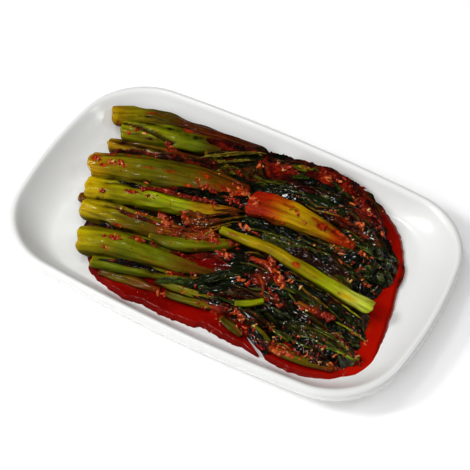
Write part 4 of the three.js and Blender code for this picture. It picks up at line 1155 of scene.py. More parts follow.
# the leaves that stand out: path as seen, width, colour, how bubbly, how crumpled, stain, lift
drapedLeaves = {
    "far_wet": ([(-46, 50.5), (-31, 52), (-16, 53.5), (-2, 56)], 6.5, (60, 10, 7), 0, 0.3, 0.45, -0.2),
    "rim_a": ([(-30.5, 52.3), (-17.7, 56.9), (-3.9, 59.6), (9.2, 61.1)], 5.5, (16, 16, 6), 0, 0.2, 0.3,
              -0.6),
    "rim_b": ([(-1.2, 59.4), (11.2, 62.2), (24.5, 63), (36.1, 62.2)], 7, (34, 14, 6), 0.1, 0.5, 0.45, 0),
    "rim_c": ([(30.6, 61.7), (41.5, 61.6), (52, 57), (61, 50)], 8, (60, 14, 6), 0.3, 1.0, 0.5, 0),
    "rim_d": ([(47, 58), (58, 51.4), (67, 40.5)], 8, (44, 12, 6), 0.4, 1.0, 0.45, 0),
    "rim_e": ([(63, 44), (71, 36.4), (78.6, 31)], 7.5, (20, 22, 8), 0.5, 1.0, 0.2, 0),
    "far_cover": ([(-40, 42), (-28, 46), (-10, 50), (6, 53)], 9, (28, 34, 8), 0.1, 1.0, 0.3, -0.3),
    "olive_bubbly": ([(-37, 35.4), (-28, 36.6), (-18, 39)], 8, (96, 92, 16), 0.9, 0.8, 0.15, 0.3),
    "brown_bubbly": ([(-22, 38), (-11.6, 41), (-2.4, 40.6)], 8, (70, 46, 10), 0.8, 0.9, 0.35, 0.1),
    "blade_far": ([(-44, 35.6), (-30, 44.6), (-20, 51.4), (-11, 57)], 1.1, (150, 136, 56), 0, 0.3, 0.1, 1.4),
    "blade_far_low": ([(-39, 34), (-26, 42), (-14, 50.4)], 1.0, (120, 108, 40), 0, 0.3, 0.15, 1.0),
    "blade_far_high": ([(-34, 44), (-22, 51), (-12, 55)], 0.9, (128, 110, 40), 0, 0.3, 0.2, 1.4),
    "red_far": ([(-5, 50.6), (2.2, 52.6), (9.3, 53.4)], 6, (146, 22, 6), 0.4, 0.8, 0.95, 0.5),
    "orange_far": ([(7.3, 57), (12.3, 58), (17.2, 58.4)], 3.6, (150, 130, 24), 0, 0.5, 0.25, 0.5),
    "smooth_dark": ([(20.7, 40), (32, 40.6), (46.4, 40)], 9, (34, 50, 12), 0, 0.4, 0.1, 0.3),
    "smooth_dark_low": ([(30, 35), (42, 34.6), (56, 34)], 7, (26, 30, 9), 0, 0.7, 0.2, 0.2),
    "striated": ([(33.6, 36.4), (46.9, 34.6), (60, 32.6)], 4, (84, 34, 12), 0, 0.8, 0.4, 0.6),
    "red_band": ([(14, 56), (27.7, 57.8), (42, 57.6)], 6, (120, 34, 8), 0.2, 0.8, 0.75, 0.4),
    "red_band_low": ([(39, 57), (50.1, 52), (61, 45.6)], 7, (96, 22, 7), 0.3, 0.9, 0.7, 0.3),
    "torn_sheath": ([(-38, -18.6), (-26.3, -13.6), (-16.2, -9.6), (-5, -6)], 9, (140, 76, 14), 0.35, 0.6,
                    0.4, 0.2),
    "torn_sheath_low": ([(-36, -24), (-23.8, -19.6), (-12.5, -15.6), (-4, -11.4)], 6, (120, 70, 14), 0.5,
                        0.7, 0.4, 0),
    "torn_sheath_top": ([(-30, -4.6), (-21.6, -2.4), (-14, 0), (-7, 1.4)], 8, (136, 70, 12), 0.1, 0.6, 0.35,
                        0.3),
    # the gap_ strips are dark leaf bits in the gaps between stalks, partly leaf and partly painted shade
    "gap_far": ([(-88, 15), (-76, 21.8), (-58, 29.4), (-38, 34.4), (-22, 35.6)], 4.6, (60, 24, 6), 0.1, 0.8,
                0.4, -0.6),
    "gap_stained": ([(-73, 0.5), (-57.5, 4), (-43.2, 8.1), (-27.6, 12.4), (-7, 18)], 3.2, (20, 22, 8), 0.1,
                    1.0, 0.2, -0.4),
    "middle_top": ([(-60.8, 1.5), (-48.9, 6.7), (-33.5, 9.8), (-17.6, 13)], 3.4, (96, 40, 8), 0, 0.5, 0.7,
                   0.3),
    "gap_middle": ([(-64, -17), (-50, -15.6), (-35, -14), (-20, -10.4)], 3.6, (70, 30, 6), 0, 0.9, 0.5,
                   -0.5),
    "gap_low": ([(-67, -31), (-51.5, -28.6), (-37, -26.8), (-22.4, -24)], 3.6, (28, 14, 5), 0, 0.9, 0.3,
                -0.8),
    "gap_near": ([(-55.1, -50.9), (-46.6, -47.4), (-38.2, -44.9), (-27.7, -42.8), (-19.2, -41.4)], 1.9,
                 (12, 5, 3), 0, 1.0, 0.35, -0.5),
    "front_wet": ([(-21, -48), (-12, -43.2), (-2, -40), (6, -38)], 3.6, (60, 76, 26), 0, 0.6, 0.05, 0.2),
    "front_b": ([(4, -46), (22, -44), (41, -45)], 6, (24, 30, 8), 0, 1.0, 0.35, 0),
    "bay_leaf": ([(37.3, -50.8), (43.1, -53.9), (49.4, -56.8), (52.6, -58.5)], 5.5, (11, 14, 5), 0, 0.9,
                 0.05, 0),
    "savoy_a": ([(58.5, 13.3), (67.8, 18.5), (79.8, 20.7), (86, 21.5)], 8, (22, 28, 12), 0.95, 1.0, 0.1,
                0.4),
    "savoy_b": ([(63.9, 7.3), (75.3, 10.6), (84.8, 12.9), (89, 14)], 8, (30, 38, 14), 0.95, 1.0, 0.1, 0.4),
    "savoy_c": ([(70.8, 0.7), (79.3, 2.5), (88, 3.6)], 7, (20, 26, 10), 0.95, 1.0, 0.15, 0.3),
    "savoy_d": ([(70.7, 24.7), (77.5, 25.4), (83, 24.6)], 7, (24, 28, 10), 0.95, 1.0, 0.15, 0.3),
    "under_stalk": ([(20, -9), (47, -12.5), (72, -15)], 6, (20, 26, 7), 0, 1.0, 0.3, 0),
    "frond_middle": ([(-4, -42), (4.8, -31.4), (13.4, -20.6), (22.6, -11)], 5.5, (30, 40, 10), 0, 0.6, 0.15,
                     0.2),
    "frond_near": ([(3, -43.6), (13.8, -32.4), (23.6, -23.4)], 5, (26, 34, 9), 0, 0.6, 0.2, 0.2),
    "frond_end": ([(2, -35), (12, -26), (20, -20)], 4, (44, 52, 14), 0, 0.7, 0.2, 0.3),
    "fibre": ([(70.6, -12.7), (78.9, -15.3), (84.7, -16.4)], 1.1, (160, 156, 40), 0, 0.2, 0.0, 0.4),
    "fray_a": ([(-16.5, -4.7), (-9.6, 3.8), (0.1, 13.2)], 1.1, (128, 96, 16), 0, 0.3, 0.15, 0.6),
    "fray_b": ([(-14.1, -5.7), (-7.3, 2), (-1.1, 8.6)], 0.9, (140, 110, 20), 0, 0.3, 0.1, 0.7),
    "fray_c": ([(-22.2, -2.4), (-11.9, 8), (0.4, 17.3)], 1.2, (112, 64, 12), 0, 0.3, 0.3, 0.5),
    "fray_d": ([(-13.3, -9.2), (-10, -4.2), (-3.8, 4.7)], 1.0, (150, 120, 22), 0, 0.3, 0.15, 0.7),
    "fray_e": ([(-24.6, -6.9), (-14.2, -1.1), (-7.4, 6.6)], 1.2, (96, 60, 12), 0, 0.3, 0.3, 0.5),
    "fray_f": ([(-17.1, 8.3), (-6.3, 13.5), (4.2, 17)], 1.0, (98, 60, 12), 0, 0.3, 0.4, 0.5),
    "vein_a": ([(37.7, -15.6), (43.9, -11.4), (50.9, -11.2), (59.1, -11)], 1.2, (110, 116, 30), 0, 0.2, 0.05,
               0.4),
    "vein_b": ([(58.5, -36.8), (69, -34.5), (80.4, -35.2)], 1.2, (104, 116, 30), 0, 0.2, 0.1, 0.4),
    "vein_c": ([(73.8, -24.7), (83.1, -25.9), (94.1, -28.3)], 1.1, (120, 120, 34), 0, 0.2, 0.1, 0.4),
    "vein_d": ([(75, -41.7), (83.9, -41), (94.4, -41.4)], 1.4, (110, 132, 30), 0, 0.2, 0.05, 0.5),
    "vein_e": ([(12.4, -15.5), (21.1, -13.7), (31, -14.1)], 1.2, (80, 84, 22), 0, 0.3, 0.2, 0.4),
}


def flowLine(start, length, bend, seed, count):  # a line along the leaves, from its left end
    line = [np.array(start, float)]
    for k in range(count):
        share = k / count
        turn = flow(*line[-1]) + math.radians(bend) * (share - 0.5)
        turn = turn + 0.35 * noise.noise((share * 2.2, seed, 0))
        line.append(line[-1] + length / count * np.array([math.cos(turn), math.sin(turn)]))
    return np.array(line)


def underSight(points):  # plan places of points given as they are seen
    seen, bed = np.array(points, float), ground.blurred(2)
    spots = seen.copy()
    for _ in range(8):
        z = bed.read(spots[:, 0], spots[:, 1]) + 0.6
        spots = 0.5 * spots + 0.5 * (seen - (seenLevel - z)[:, None] * slope)
    return spots


def leafFolds(runs, c, width, pleat, seed):  # pleats, creases, puckers and bubbles of a leaf
    wave = np.sin(c * width / 2 / pleat * 2 * math.pi + 2.5 * grain(runs, leafForm["wave"]) + seed)
    fold = grain(runs, leafForm["fold"], 1)
    crease = 1 - 2.6 * np.abs(grain(runs, leafForm["crease"], 2))
    pucker = 1 - 2.6 * np.abs(grain(runs, leafForm["pucker"], 7))
    seams = np.abs(grain(runs, leafForm["seam"], 4))
    bubble = grain(runs, leafForm["bubble"], 3) + 0.8 * (0.5 - seams * 2)
    creased = leafForm["pleatHeight"] * wave
    creased = creased + leafForm["crumple"] * (0.9 * fold + 0.6 * crease + 0.4 * pucker - 0.5)
    # lit: painted light and shade that follow the relief, lighter on ridges and darker in the furrows
    lit = 0.3 + 0.35 * crease + 0.3 * pucker + 0.2 * wave
    return creased, bubble, lit


def leafHeight(x, y, c, s, length, width, relief, lift, rise):  # laid on what is below it
    bed, fade = ground.blurred(2).read(x, y), leafForm["endFade"]
    z = bed + 0.5 + lift + relief - leafForm["droop"] * np.abs(c) ** 3 * min(width / 8, 1)
    ends = ease(s * length, 0, fade) * (1 - ease(s * length, length - fade, length))
    z = lerp(bed - 0.2, z, (0.35 + 0.65 * ends)[None])
    cap = heapTop(x, y) + rise  # leaves that reach above the heap are pressed down
    z = np.where(z > cap, cap + (z - cap) * leafForm["pressed"], z)
    z = np.minimum(z, roof.read(x, y) - 0.15)
    return np.maximum(z, sauce["level"] - 0.5 + 0.3 * relief)


def layLeaf(template, line, width, seed, tint, savoy=0.0, crumpled=1.0, stain=0.0, lift=0.0,
            vein=0.0, pleat=2.4, rise=3.0):
    tangent = unit(np.gradient(line, axis=0))
    side = np.stack([-tangent[:, 1], tangent[:, 0]], 1)
    length = lengthOf(line)
    s = np.linspace(0, 1, len(line))
    across = np.linspace(-1, 1, len(template.data.vertices) // len(line))
    taper = np.sqrt(np.clip(1 - np.abs(2 * s - 1) ** 3, 0.01, 1))
    rag = 1 + 0.4 * grain(np.stack([s * length / 5, s * 0 + seed, s * 0], -1), 1.0)
    run, c = np.meshgrid(s * length, across, indexing="xy")
    runs = np.stack([run, c * width / 2, run * 0 + seed * 9], -1)
    creased, bubble, lit = leafFolds(runs, c, width, pleat, seed)
    relief = lerp(creased, 1.25 * bubble, savoy) * crumpled * min(width / 4, 1)
    offset = c * (width / 2 * taper * rag)[None] + 0.35 * grain(runs, (5, 3, 1), 6) * (1 - savoy) * crumpled
    x = line[None, :, 0] + side[None, :, 0] * offset
    y = line[None, :, 1] + side[None, :, 1] * offset
    z = leafHeight(x, y, c, s, length, width, relief, lift, rise)
    piece = copied(template)
    shape(piece, np.stack([x, y, z], -1))
    setUv(piece, run / 10 + seed, c * width / 20 + seed)
    # painted shade in the furrows and painted light on ridges and bubble tops, times the painted light and
    # shade of the zones
    lit = np.clip(lerp(lit, 0.5 + bubble, savoy), 0, 1.3)
    shade = shadeAt(x, y)
    # light: pale veins, and painted highlights on the ridges, stronger where a zone is painted lighter
    light = vein * np.exp(-(c * width / 2 / 0.5) ** 2) + 0.5 * ease(lit, 0.75, 1.2) * (vein > 0)
    light = light * shade + 0.7 * ease(lit, 0.7, 1.1) * np.clip(shade - 1, 0, 1)
    depth = lerp(1, 0.06 + 1.9 * lit ** 1.6, min(crumpled, 1)) * shade
    paint(piece, "flesh", np.array(tone(*tint)) * depth[..., None])
    soak = np.maximum(pepper(x, y), stain) + 0.3 * grain(runs, (5, 3, 1), 9)
    reach = np.hypot(x - heap["centre"][0], y - heap["centre"][1])
    farEdge = 2 * ease(reach, *leafForm["dryReach"]) * ease(y, *leafForm["dryFrom"])
    matte = strongest(dullZones, x, y, farEdge)
    paint(piece, "marks", np.clip(np.stack([soak, light, np.maximum(savoy, matte)], -1), 0, 2))
    ground.press(x, y, z, np.maximum)
    return piece


class Patch:  # the part of the heap where a leaf may lie
    def __init__(self):
        self.outline = evenLoop(heap["outline"], heap["points"])
        self.start = np.array(leafForm["leftEnd"], float)

    def holds(self, x, y, margin=2.0):
        centre = np.array(heap["centre"])
        turn = np.arctan2(self.outline[:, 1] - centre[1], self.outline[:, 0] - centre[0])
        reach = np.linalg.norm(self.outline - centre, axis=1)
        order = np.argsort(turn)
        here = math.atan2(y - centre[1], x - centre[0])
        limit = np.interp(here, turn[order], reach[order], period=2 * math.pi)
        return math.hypot(x - centre[0], y - centre[1]) < limit - margin

    def fits(self, line):
        x, y = line[0]
        last = len(line) - 1
        return x > np.interp(y, self.start[:, 0], self.start[:, 1]) and \
            all(self.holds(*line[k]) for k in (0, last // 2, last))


def scatterLeaves(rng, template, patch):
    leaves, tries = [], 0
    while len(leaves) < leafForm["count"] and tries < leafForm["tries"]:
        tries += 1
        start = [rng.uniform(*ends) for ends in leafForm["field"]]
        length, width = rng.uniform(*leafForm["length"]), rng.uniform(*leafForm["width"])
        bend = rng.uniform(-leafForm["bend"], leafForm["bend"])
        line = flowLine(start, length, bend, rng.random() * 40, leafForm["along"])
        if not patch.fits(line):
            continue
        x, y = start
        bubbly = x > leafForm["savoyX"] and abs(y) < leafForm["savoyY"] \
            and rng.random() < leafForm["savoyShare"]
        savoy = 0.9 if bubbly else rng.choice([0, 0, 0.25])
        tint = rng.choice(leafTones if y < leafForm["savoyY"] else leafTones[5:] + leafTones[:4])
        leaves.append(layLeaf(template, line, width * (1.3 if savoy > 0.5 else 1), rng.random() * 40, tint,
                              savoy=savoy, vein=rng.choice(leafForm["veins"]),
                              pleat=rng.uniform(*leafForm["pleat"])))
    print("leaves laid:", len(leaves), "after tries", tries)
    return leaves


def crumpleRim(rng, template):
    leaves = []
    for k, (x, y) in enumerate(rimLeaves["ends"]):
        turn = flow(x, y)
        length = rng.uniform(*rimLeaves["length"])
        start = (x - length * math.cos(turn), y - length * math.sin(turn))
        bend = rng.uniform(-leafForm["bend"], leafForm["bend"])
        line = flowLine(start, length, bend, k, leafForm["along"])
        leaves.append(layLeaf(template, line, rng.uniform(*rimLeaves["width"]), k * 1.7,
                              rng.choice(leafTones), savoy=rng.uniform(*rimLeaves["savoy"]),
                              vein=rng.choice(rimLeaves["veins"]), rise=rimLeaves["rise"]))
    return leaves


def drapeLeaves(template, narrow):
    leaves = []
    for k, (path, width, *finish) in enumerate(drapedLeaves.values()):
        form, flat = (strands, narrow) if width < strands["widest"] else (leafForm, template)
        line = underSight(planLine(path, form["along"]))
        leaves.append(layLeaf(flat, line, width, k + 0.5, *finish, rise=strands["rise"]))
    return leaves


def looseStrands(rng, narrow, patch):
    leaves = []
    while len(leaves) < strands["count"]:
        length = rng.uniform(*strands["length"])
        start = [rng.uniform(*ends) for ends in strands["field"]]
        bend = rng.uniform(-strands["bend"], strands["bend"])
        line = flowLine(start, length, bend, rng.random() * 40, strands["along"])
        if patch.fits(line):
            leaves.append(layLeaf(narrow, line, rng.uniform(*strands["width"]), rng.random() * 40,
                                  rng.choice(strands["tones"]), crumpled=0.5, lift=0.3, rise=strands["rise"]))
    return leaves


def makeLeaves():
    rng = random.Random(leafForm["seed"])
    patch = Patch()
    template = gridSheet("leaf_template", leafForm["along"], leafForm["across"])
    narrow = gridSheet("strand_template", strands["along"], strands["across"])
    leaves = scatterLeaves(rng, template, patch) + crumpleRim(rng, template)
    draped = drapeLeaves(template, narrow) + looseStrands(rng, narrow, patch)
    share = -(-len(leaves) // 3)
    lots = {"leaves_lower": leaves[:share], "leaves_middle": leaves[share:2 * share],
            "leaves_upper": leaves[2 * share:], "leaves_draped": draped}
    pieces = []
    for name, lot in lots.items():
        piece = joined(lot, name)
        giveWall(piece, leafForm["thickness"], 0)
        pieces.append(serve(piece, ["leaf_heap"], pickledLeaf))
    bpy.data.objects.remove(template)
    bpy.data.objects.remove(narrow)
    return pieces


# the bed is near black: scraps and liquid between the stalks, and painted shade for the gaps
pulpBed = {
    "foot": 7.2, "top": 10.2, "points": 220, "shares": (*np.linspace(0, 0.94, 58), 0.97, 1.0),
    "lumps": [((9, 5, 1), 1, 1.1), ((3.4, 2.2, 1), 2, 0.7)], "colour": (30, 16, 5),
    "shore": [(-74, -40), (-78, -22), (-80, 0), (-84, 18), (-86, 34), (-78, 46), (-50, 51), (-20, 52),
              (0, 40), (6, 0), (6, -24), (-16, -40), (-46, -48), (-62, -47)],
}


def makeBed():  # soft scraps and liquid caught between the stalks
    shares, outline = np.array(pulpBed["shares"]), evenRing(pulpBed["shore"], pulpBed["points"])
    x, y = fan(outline, outline.mean(axis=0), shares)
    spots = np.stack([x, y, x * 0], -1)
    edge = 1 - ease(shares, 0.86, 1.0)[:, None]
    z = lerp(pulpBed["foot"], pulpBed["top"] + grains(spots, pulpBed["lumps"]), edge)
    piece = surface("pulp_bed", np.stack([x, y, z], -1))
    setUv(piece, x / 10, y / 10)
    shade = 0.7 + 0.5 * grain(spots, (4, 2, 1), 6)
    paint(piece, "flesh", np.array(tone(*pulpBed["colour"])) * shade[..., None])
    paint(piece, "marks", np.stack([0.34 + 0.3 * grain(spots, 8, 3), x * 0, x * 0], -1))
    serveClosed(piece, [], pickledLeaf)
    ground.press(x, y, z, np.maximum)
    return piece


bedPiece = makeBed()
corePiece = makeCore()
leafPieces = makeLeaves()


pocket = {"path": [(-24, -28.4), (-12.8, -25.6), (-1.6, -23.6), (9, -21)], "width": 9, "wall": 0.8,
          "marks": (0.0, 0.15, 1.0)}


def makePocket():  # a pocket of liquid between the near stalks
    template = gridSheet("liquid_pocket", leafForm["along"], leafForm["across"])
    line = underSight(planLine(pocket["path"], leafForm["along"]))
    piece = layLeaf(template, line, pocket["width"], 3.3, chili, crumpled=0.5, lift=-0.4)
    bpy.data.objects.remove(template)
    piece.name = piece.data.name = "liquid_pocket"
    giveWall(piece, pocket["wall"], -1)
    paint(piece, "marks", np.broadcast_to(pocket["marks"], (len(piece.data.vertices), 3)))
    return serve(piece, ["leaf_heap"], chiliLiquid)


pocketPiece = makePocket()
print("leaf heap made")


# chili flakes, minced garlic and seeds: lines they lie along as seen,
# x0, y0, x1, y1, spread, count, kind, size
streaks = [
    (-90.3, 38.4, -68, 36.4, 0.9, 12, "mix", "m"), (-78.5, 36.4, -76.7, 36.6, 0.4, 1, "pale", "l"),
    (-84.9, 37.1, -82.6, 36.7, 0.4, 1, "orange", "l"), (-85.8, 9.7, -80.4, 9.4, 0.9, 8, "mix", "m"),
    (-80.8, 13.3, -75.2, 11.5, 0.7, 6, "orange", "l"), (-83.8, 10.8, -79.4, 9.9, 0.6, 3, "pale", "m"),
    (-94.5, 8.9, -89.2, 7.8, 1.3, 8, "orange", "m"), (-63.8, 37, -56.5, 33.5, 1.6, 20, "red", "m"),
    (-60.7, 32.9, -58, 32.7, 0.9, 3, "orange", "m"), (-88.4, 14.9, -84.6, 16.2, 0.6, 4, "red", "s"),
    (-72.5, 25.4, -67.9, 26.3, 0.9, 6, "red", "s"), (-78.2, -9.8, -74.7, -10.3, 0.7, 5, "red", "m"),
    (-65.8, -3.7, -60.3, -2.3, 1, 8, "red", "m"), (-61.2, 1.3, -56.6, 2.2, 1, 7, "red", "m"),
    (-54, -1.1, -51.3, -1.3, 0.7, 4, "red", "m"), (-59.7, 6.2, -57, 6.1, 0.6, 2, "orange", "m"),
    (-63.6, -16.9, -61.2, -15.5, 0.5, 2, "pale", "m"), (-53.1, -14.2, -43.6, -12, 1.3, 14, "orange", "m"),
    (-42.8, -9.2, -33.5, -11.1, 1.9, 22, "orange", "l"), (-40.6, -9.6, -35.2, -11.3, 1.2, 6, "red", "l"),
    (-30.8, -1.7, -22.2, -7.9, 1.6, 18, "orange", "l"), (-35, -12.7, -26.6, -14.3, 1.6, 7, "red", "m"),
    (-60.3, -35.5, -50.9, -33.3, 1.3, 18, "red", "m"), (-47.7, -29.2, -39.6, -29.3, 1.3, 16, "red", "m"),
    (-37.1, -27.1, -31.7, -28.7, 0.6, 3, "mix", "m"), (-57.3, -42.3, -51.7, -42.2, 1.2, 6, "orange", "s"),
    (-58.3, -26.5, -53.4, -26.1, 0.9, 4, "orange", "s"), (-36, 20.3, -20.1, 20.2, 1.9, 22, "red", "m"),
    (-33.1, 18.6, -25, 19.9, 1.2, 8, "orange", "m"), (-46.1, 8.1, -29.1, 9.5, 1.8, 24, "red", "m"),
    (-28.7, 12.2, -16.1, 12, 2, 22, "red", "m"), (-18.4, 19.5, -2.9, 18.6, 1.9, 24, "red", "m"),
    (-17.6, 24.8, -13.2, 22.5, 1.1, 6, "orange", "m"), (-16.5, 29.5, -6.1, 25.6, 1.8, 16, "orange", "m"),
    (-15.4, -14.2, -8.7, -4.3, 2.4, 20, "orange", "m"), (-11.7, -6.7, -4.4, -9.6, 1.8, 16, "orange", "l"),
    (-25.6, -13.7, -15.4, -14.2, 1.8, 5, "mix", "m"), (1.7, -6.2, 6.9, -7.9, 1.2, 9, "orange", "l"),
    (-21, -25.8, -13.6, -27, 1.3, 9, "red", "m"), (-1.1, -15.4, 6.9, -15.5, 1.4, 14, "red", "l"),
    (-18.5, -39.5, -13.3, -41.1, 1, 5, "orange", "m"), (-7.5, -34.2, 3.1, -35.7, 1.3, 8, "red", "m"),
    (16.9, -25.8, 22.6, -26.3, 1.2, 6, "orange", "l"), (24.1, -45.2, 32.3, -47.1, 1.8, 14, "orange", "l"),
    (18.1, -53.6, 23.6, -54.9, 1.3, 6, "orange", "m"), (7.2, -50.3, 11.8, -49.9, 0.7, 3, "mix", "m"),
    (-19.1, -54, -10.7, -53.7, 1.4, 10, "mix", "m"), (-5.2, -47.7, -1.6, -48.6, 0.6, 3, "orange", "m"),
    (0.3, 6.2, 6.6, 5.9, 1, 5, "orange", "l"), (7.9, 5.8, 13.3, 4.9, 1, 4, "red", "m"),
    (12.3, -11, 22.6, -9.8, 1.8, 10, "red", "m"), (76.1, 4.4, 79.5, 3.3, 0.7, 4, "orange", "l"),
    (67.4, 1.7, 69.3, 1.3, 0.5, 2, "pale", "m"), (58.2, 11.6, 62.3, 9.4, 1, 6, "orange", "m"),
    (64.4, 13.5, 70.8, 12.6, 1.4, 5, "orange", "m"), (68.7, 8.4, 75.7, 6.4, 1.8, 6, "red", "m"),
    (82, 1.8, 86.2, 0.4, 1, 4, "orange", "m"), (59.6, 23.1, 73.6, 18.7, 3, 10, "mix", "m"),
    (48.7, 18.5, 59.3, 15.3, 2.4, 12, "red", "m"), (40.2, 13.8, 45.8, 12.3, 1, 5, "orange", "m"),
    (-2.9, 54.3, 8.2, 52.3, 2.4, 20, "red", "l"), (8.2, 60.6, 15.8, 58.2, 1.8, 5, "orange", "s"),
    (18.5, 58.9, 31.9, 58.2, 2.4, 16, "mix", "m"), (29.3, 60.8, 40.3, 58.8, 2.2, 12, "orange", "m"),
    (37.6, 58.1, 60.8, 47.1, 4.2, 40, "red", "m"), (48.2, 52.8, 59.2, 47.8, 2.4, 10, "orange", "m"),
    (54.6, 38.9, 60.9, 34.6, 1.3, 9, "orange", "l"), (37.7, 39.7, 45.1, 38.3, 1.2, 8, "orange", "m"),
    (62.3, 46.4, 73.7, 35.6, 2.4, 20, "red", "m"), (38.2, 28.2, 41.7, 26.2, 0.6, 3, "red", "l"),
    (21.7, 29.2, 24.9, 27.8, 0.6, 3, "orange", "m"), (27, 25.1, 30.2, 23.7, 0.6, 3, "orange", "s"),
    (16.4, 25.4, 19.2, 24.6, 0.5, 2, "orange", "s"), (48.1, 26.7, 57.7, 26.7, 1.8, 20, "orange", "m"),
    (-6.8, 26.8, 0.9, 23.1, 2.1, 22, "orange", "m"), (1.4, 18.7, 11.6, 14.9, 2.4, 12, "red", "s"),
    (-35.6, 38.6, -17.8, 38.6, 3, 14, "mix", "s"), (-13.5, 49.2, -8.8, 47.7, 0.8, 5, "orange", "l"),
    (20.4, -5.7, 28.1, -6.7, 1.4, 8, "orange", "s"), (40.5, -14, 47.5, -13.8, 1.2, 8, "orange", "m"),
    (25, -5.4, 39.7, -18.2, 1.4, 30, "orange", "l"), (25, -5.4, 39.7, -18.2, 1.8, 16, "red", "l"),
    (35, -23.8, 47.4, -31.5, 1.8, 18, "red", "m"), (32.3, -29.7, 38.7, -30.5, 1.2, 8, "orange", "m"),
    (51, -25.9, 74.1, -23, 1.3, 34, "orange", "m"), (62.1, -24.7, 72.5, -23.2, 1, 14, "red", "l"),
    (30.8, -53, 47.9, -56.2, 3, 20, "mix", "m"), (50.6, -52.6, 68.1, -52.6, 3, 28, "orange", "m"),
    (66.9, -50.5, 92.5, -50, 3, 24, "mix", "m"), (55.6, -55.4, 63.6, -55.1, 1.2, 8, "orange", "l"),
    (41.1, -43.7, 58.4, -45.4, 3, 14, "mix", "s"), (78.1, -23, 95.3, -29.7, 3, 16, "mix", "m"),
    (74.1, -30.9, 88.7, -36.9, 3, 12, "mix", "s"), (59.1, -35.7, 78.3, -39.2, 3.6, 24, "red", "s"),
    (88.7, -36.9, 98.4, -42.6, 1.8, 14, "orange", "m"), (17.8, -62.4, 27.3, -61.4, 1.8, 8, "red", "s"),
    (-30.9, -56.9, -17.6, -60.5, 1.2, 10, "mix", "s"), (-10, 0, 90, 4, 44, 150, "fleck", "s"),
    (-80, -10, 0, 10, 36, 36, "mix", "s"), (20, 40, 70, 40, 12, 60, "fleck", "s"),
    (60, 20, 92, -20, 12, 26, "fleck", "s"), (-40, -8, 0, -14, 8, 24, "fleck", "m"),
    (0, -45, 90, -45, 8, 60, "fleck", "m"),
]
flakeSizes = {"s": (0.3, 0.75), "m": (0.5, 1.3), "l": (0.9, 2.0)}  # half lengths in mm
flakeKinds = {"red": (0.85, 0.14, 0.01), "orange": (0.42, 0.5, 0.08), "mix": (0.57, 0.35, 0.08),
              "pale": (0, 0.1, 0.9), "fleck": (0.8, 0.17, 0.03)}  # shares of the three pieces below
flakePieces = {
    "chili_flakes_red": {"skin": "chiliFlakeRed", "dark": (84, 12, 4), "bright": (166, 46, 18), "rough": 0.28,
                         "pale": 0.08, "size": 1, "slot": "chili_red"},
    "chili_flakes_orange": {"skin": "chiliFlakeOrange", "dark": (146, 46, 12), "bright": (214, 114, 54),
                            "rough": 0.3, "pale": 0.25, "size": 1, "slot": "chili_red"},
    "garlic_and_seeds": {"skin": "garlicCream", "dark": (164, 112, 46), "bright": (224, 188, 116),
                         "rough": 0.32, "pale": 0.4, "size": 0.8, "slot": "stalk_yellow"},
}
flakeForm = {"seed": 31, "shapes": 6, "long": 1.35, "wide": (0.42, 0.07), "flat": 0.3, "bulge": 0.9,
             "scales": (0.7, 1, 1, 1.2), "thickness": (0.8, 1.6), "tilt": 0.25, "sunk": 0.12}


def flakeSkin(flake):
    sheet = Sheet(flake["skin"])
    own = sheet.parts(sheet.painted("flesh"))[0]
    cloud = sheet.speckle(sheet.place(), 700.0, 3.0)
    base = sheet.mix((own * 0.8 + cloud * 0.5 - 0.15).clamp(), tone(*flake["dark"]), tone(*flake["bright"]))
    base = sheet.mix(cloud.between(0.55, 0.75) * flake["pale"], base, sheet.mix(0.5, base, (0.9, 0.7, 0.3)))
    return sheet.finish(Base_Color=base, Roughness=cloud * 0.2 + flake["rough"], Coat_Weight=0.8,
                        Coat_Roughness=0.08, Specular_IOR_Level=0.3, Normal=sheet.bump(cloud, 0.35, 0.0003))


def flakeShapes():
    shapes = []
    for k in range(flakeForm["shapes"]):
        deselect()
        bpy.ops.mesh.primitive_uv_sphere_add(segments=8, ring_count=6, radius=1)
        made = bpy.context.object
        wide, wider = flakeForm["wide"]
        size = (flakeForm["long"], wide + wider * k, flakeForm["flat"])
        for v in made.data.vertices:
            bulge = 1 + flakeForm["bulge"] * noise.noise(v.co * 1.5 + Vector((k * 9.7, 0, 0)))
            v.co = Vector([a * b for a, b in zip(v.co, size)]) * bulge
        shapes.append(made)
    return shapes


def firstFood(trees, spot):  # the first food met along the sight line: place, facing and which
    sight = Vector((*slope, 1)).normalized()
    best = None
    for k, tree in enumerate(trees):
        place, facing, _, distance = tree.ray_cast(spot + sight * 0.1, -sight)
        if place and (best is None or distance < best[0]):
            best = distance, place, facing, k
    return best


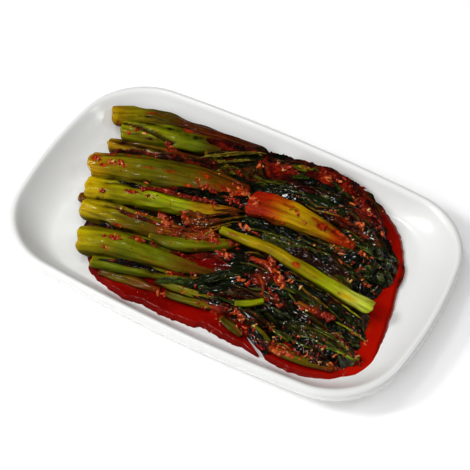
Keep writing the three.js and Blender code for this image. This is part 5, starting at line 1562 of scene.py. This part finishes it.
def settleFlake(rng, made, place, facing, half):  # a copy of a flake, lying on the food
    up = facing if facing.z > 0 else -facing
    up = (up + Vector((rng.gauss(0, flakeForm["tilt"]), rng.gauss(0, flakeForm["tilt"]), 0))).normalized()
    piece = copied(made[rng.randrange(len(made))])
    turn = rng.random() * 6.3
    spin = Vector((0, 0, 1)).rotation_difference(up).to_matrix().to_4x4() @ \
        Vector((math.cos(turn), math.sin(turn), 0)).to_track_quat("X", "Z").to_matrix().to_4x4()
    size = (half, half, half * rng.uniform(*flakeForm["thickness"]))
    rest = place - up * half * flakeForm["sunk"] * mm
    flat = [spin @ Vector([a * b for a, b in zip(v.co, size)]) * mm + rest for v in piece.data.vertices]
    piece.data.vertices.foreach_set("co", [c for v in flat for c in v])
    paint(piece, "flesh", np.full((len(flat), 3), rng.random()))
    return piece


def makeFlakes():
    rng = random.Random(flakeForm["seed"])
    depsgraph = bpy.context.evaluated_depsgraph_get()
    food = list(stalkPieces.values()) + leafPieces + [bedPiece, corePiece, pocketPiece, saucePiece]
    trees = [BVHTree.FromObject(piece, depsgraph) for piece in food]
    shapes, kept = flakeShapes(), {name: [] for name in flakePieces}
    noFlecks = (0, len(trees) - 1)  # the crossing stalk and the sauce
    for x0, y0, x1, y1, wide, count, kind, size in streaks:
        for _ in range(count):
            t = rng.random()
            x, y = (lerp(a, b, t) + rng.gauss(0, wide * 0.5) for a, b in ((x0, x1), (y0, y1)))
            spot = Vector((x, y, seenLevel)) * mm
            met = firstFood(trees, spot)
            if met is None or (kind == "fleck" and met[3] in noFlecks):
                continue
            name = rng.choices(list(flakePieces), flakeKinds[kind])[0]
            half = rng.uniform(*flakeSizes[size]) * rng.choice(flakeForm["scales"])
            half *= flakePieces[name]["size"]
            kept[name].append(settleFlake(rng, shapes, met[1], met[2], half))
    for made in shapes:
        bpy.data.objects.remove(made)
    for name, flake in flakePieces.items():
        piece = joined(kept[name], name)
        smoothShade(piece)
        serve(piece, [], flakeSkin(flake))
        print(name, len(kept[name]))


makeFlakes()
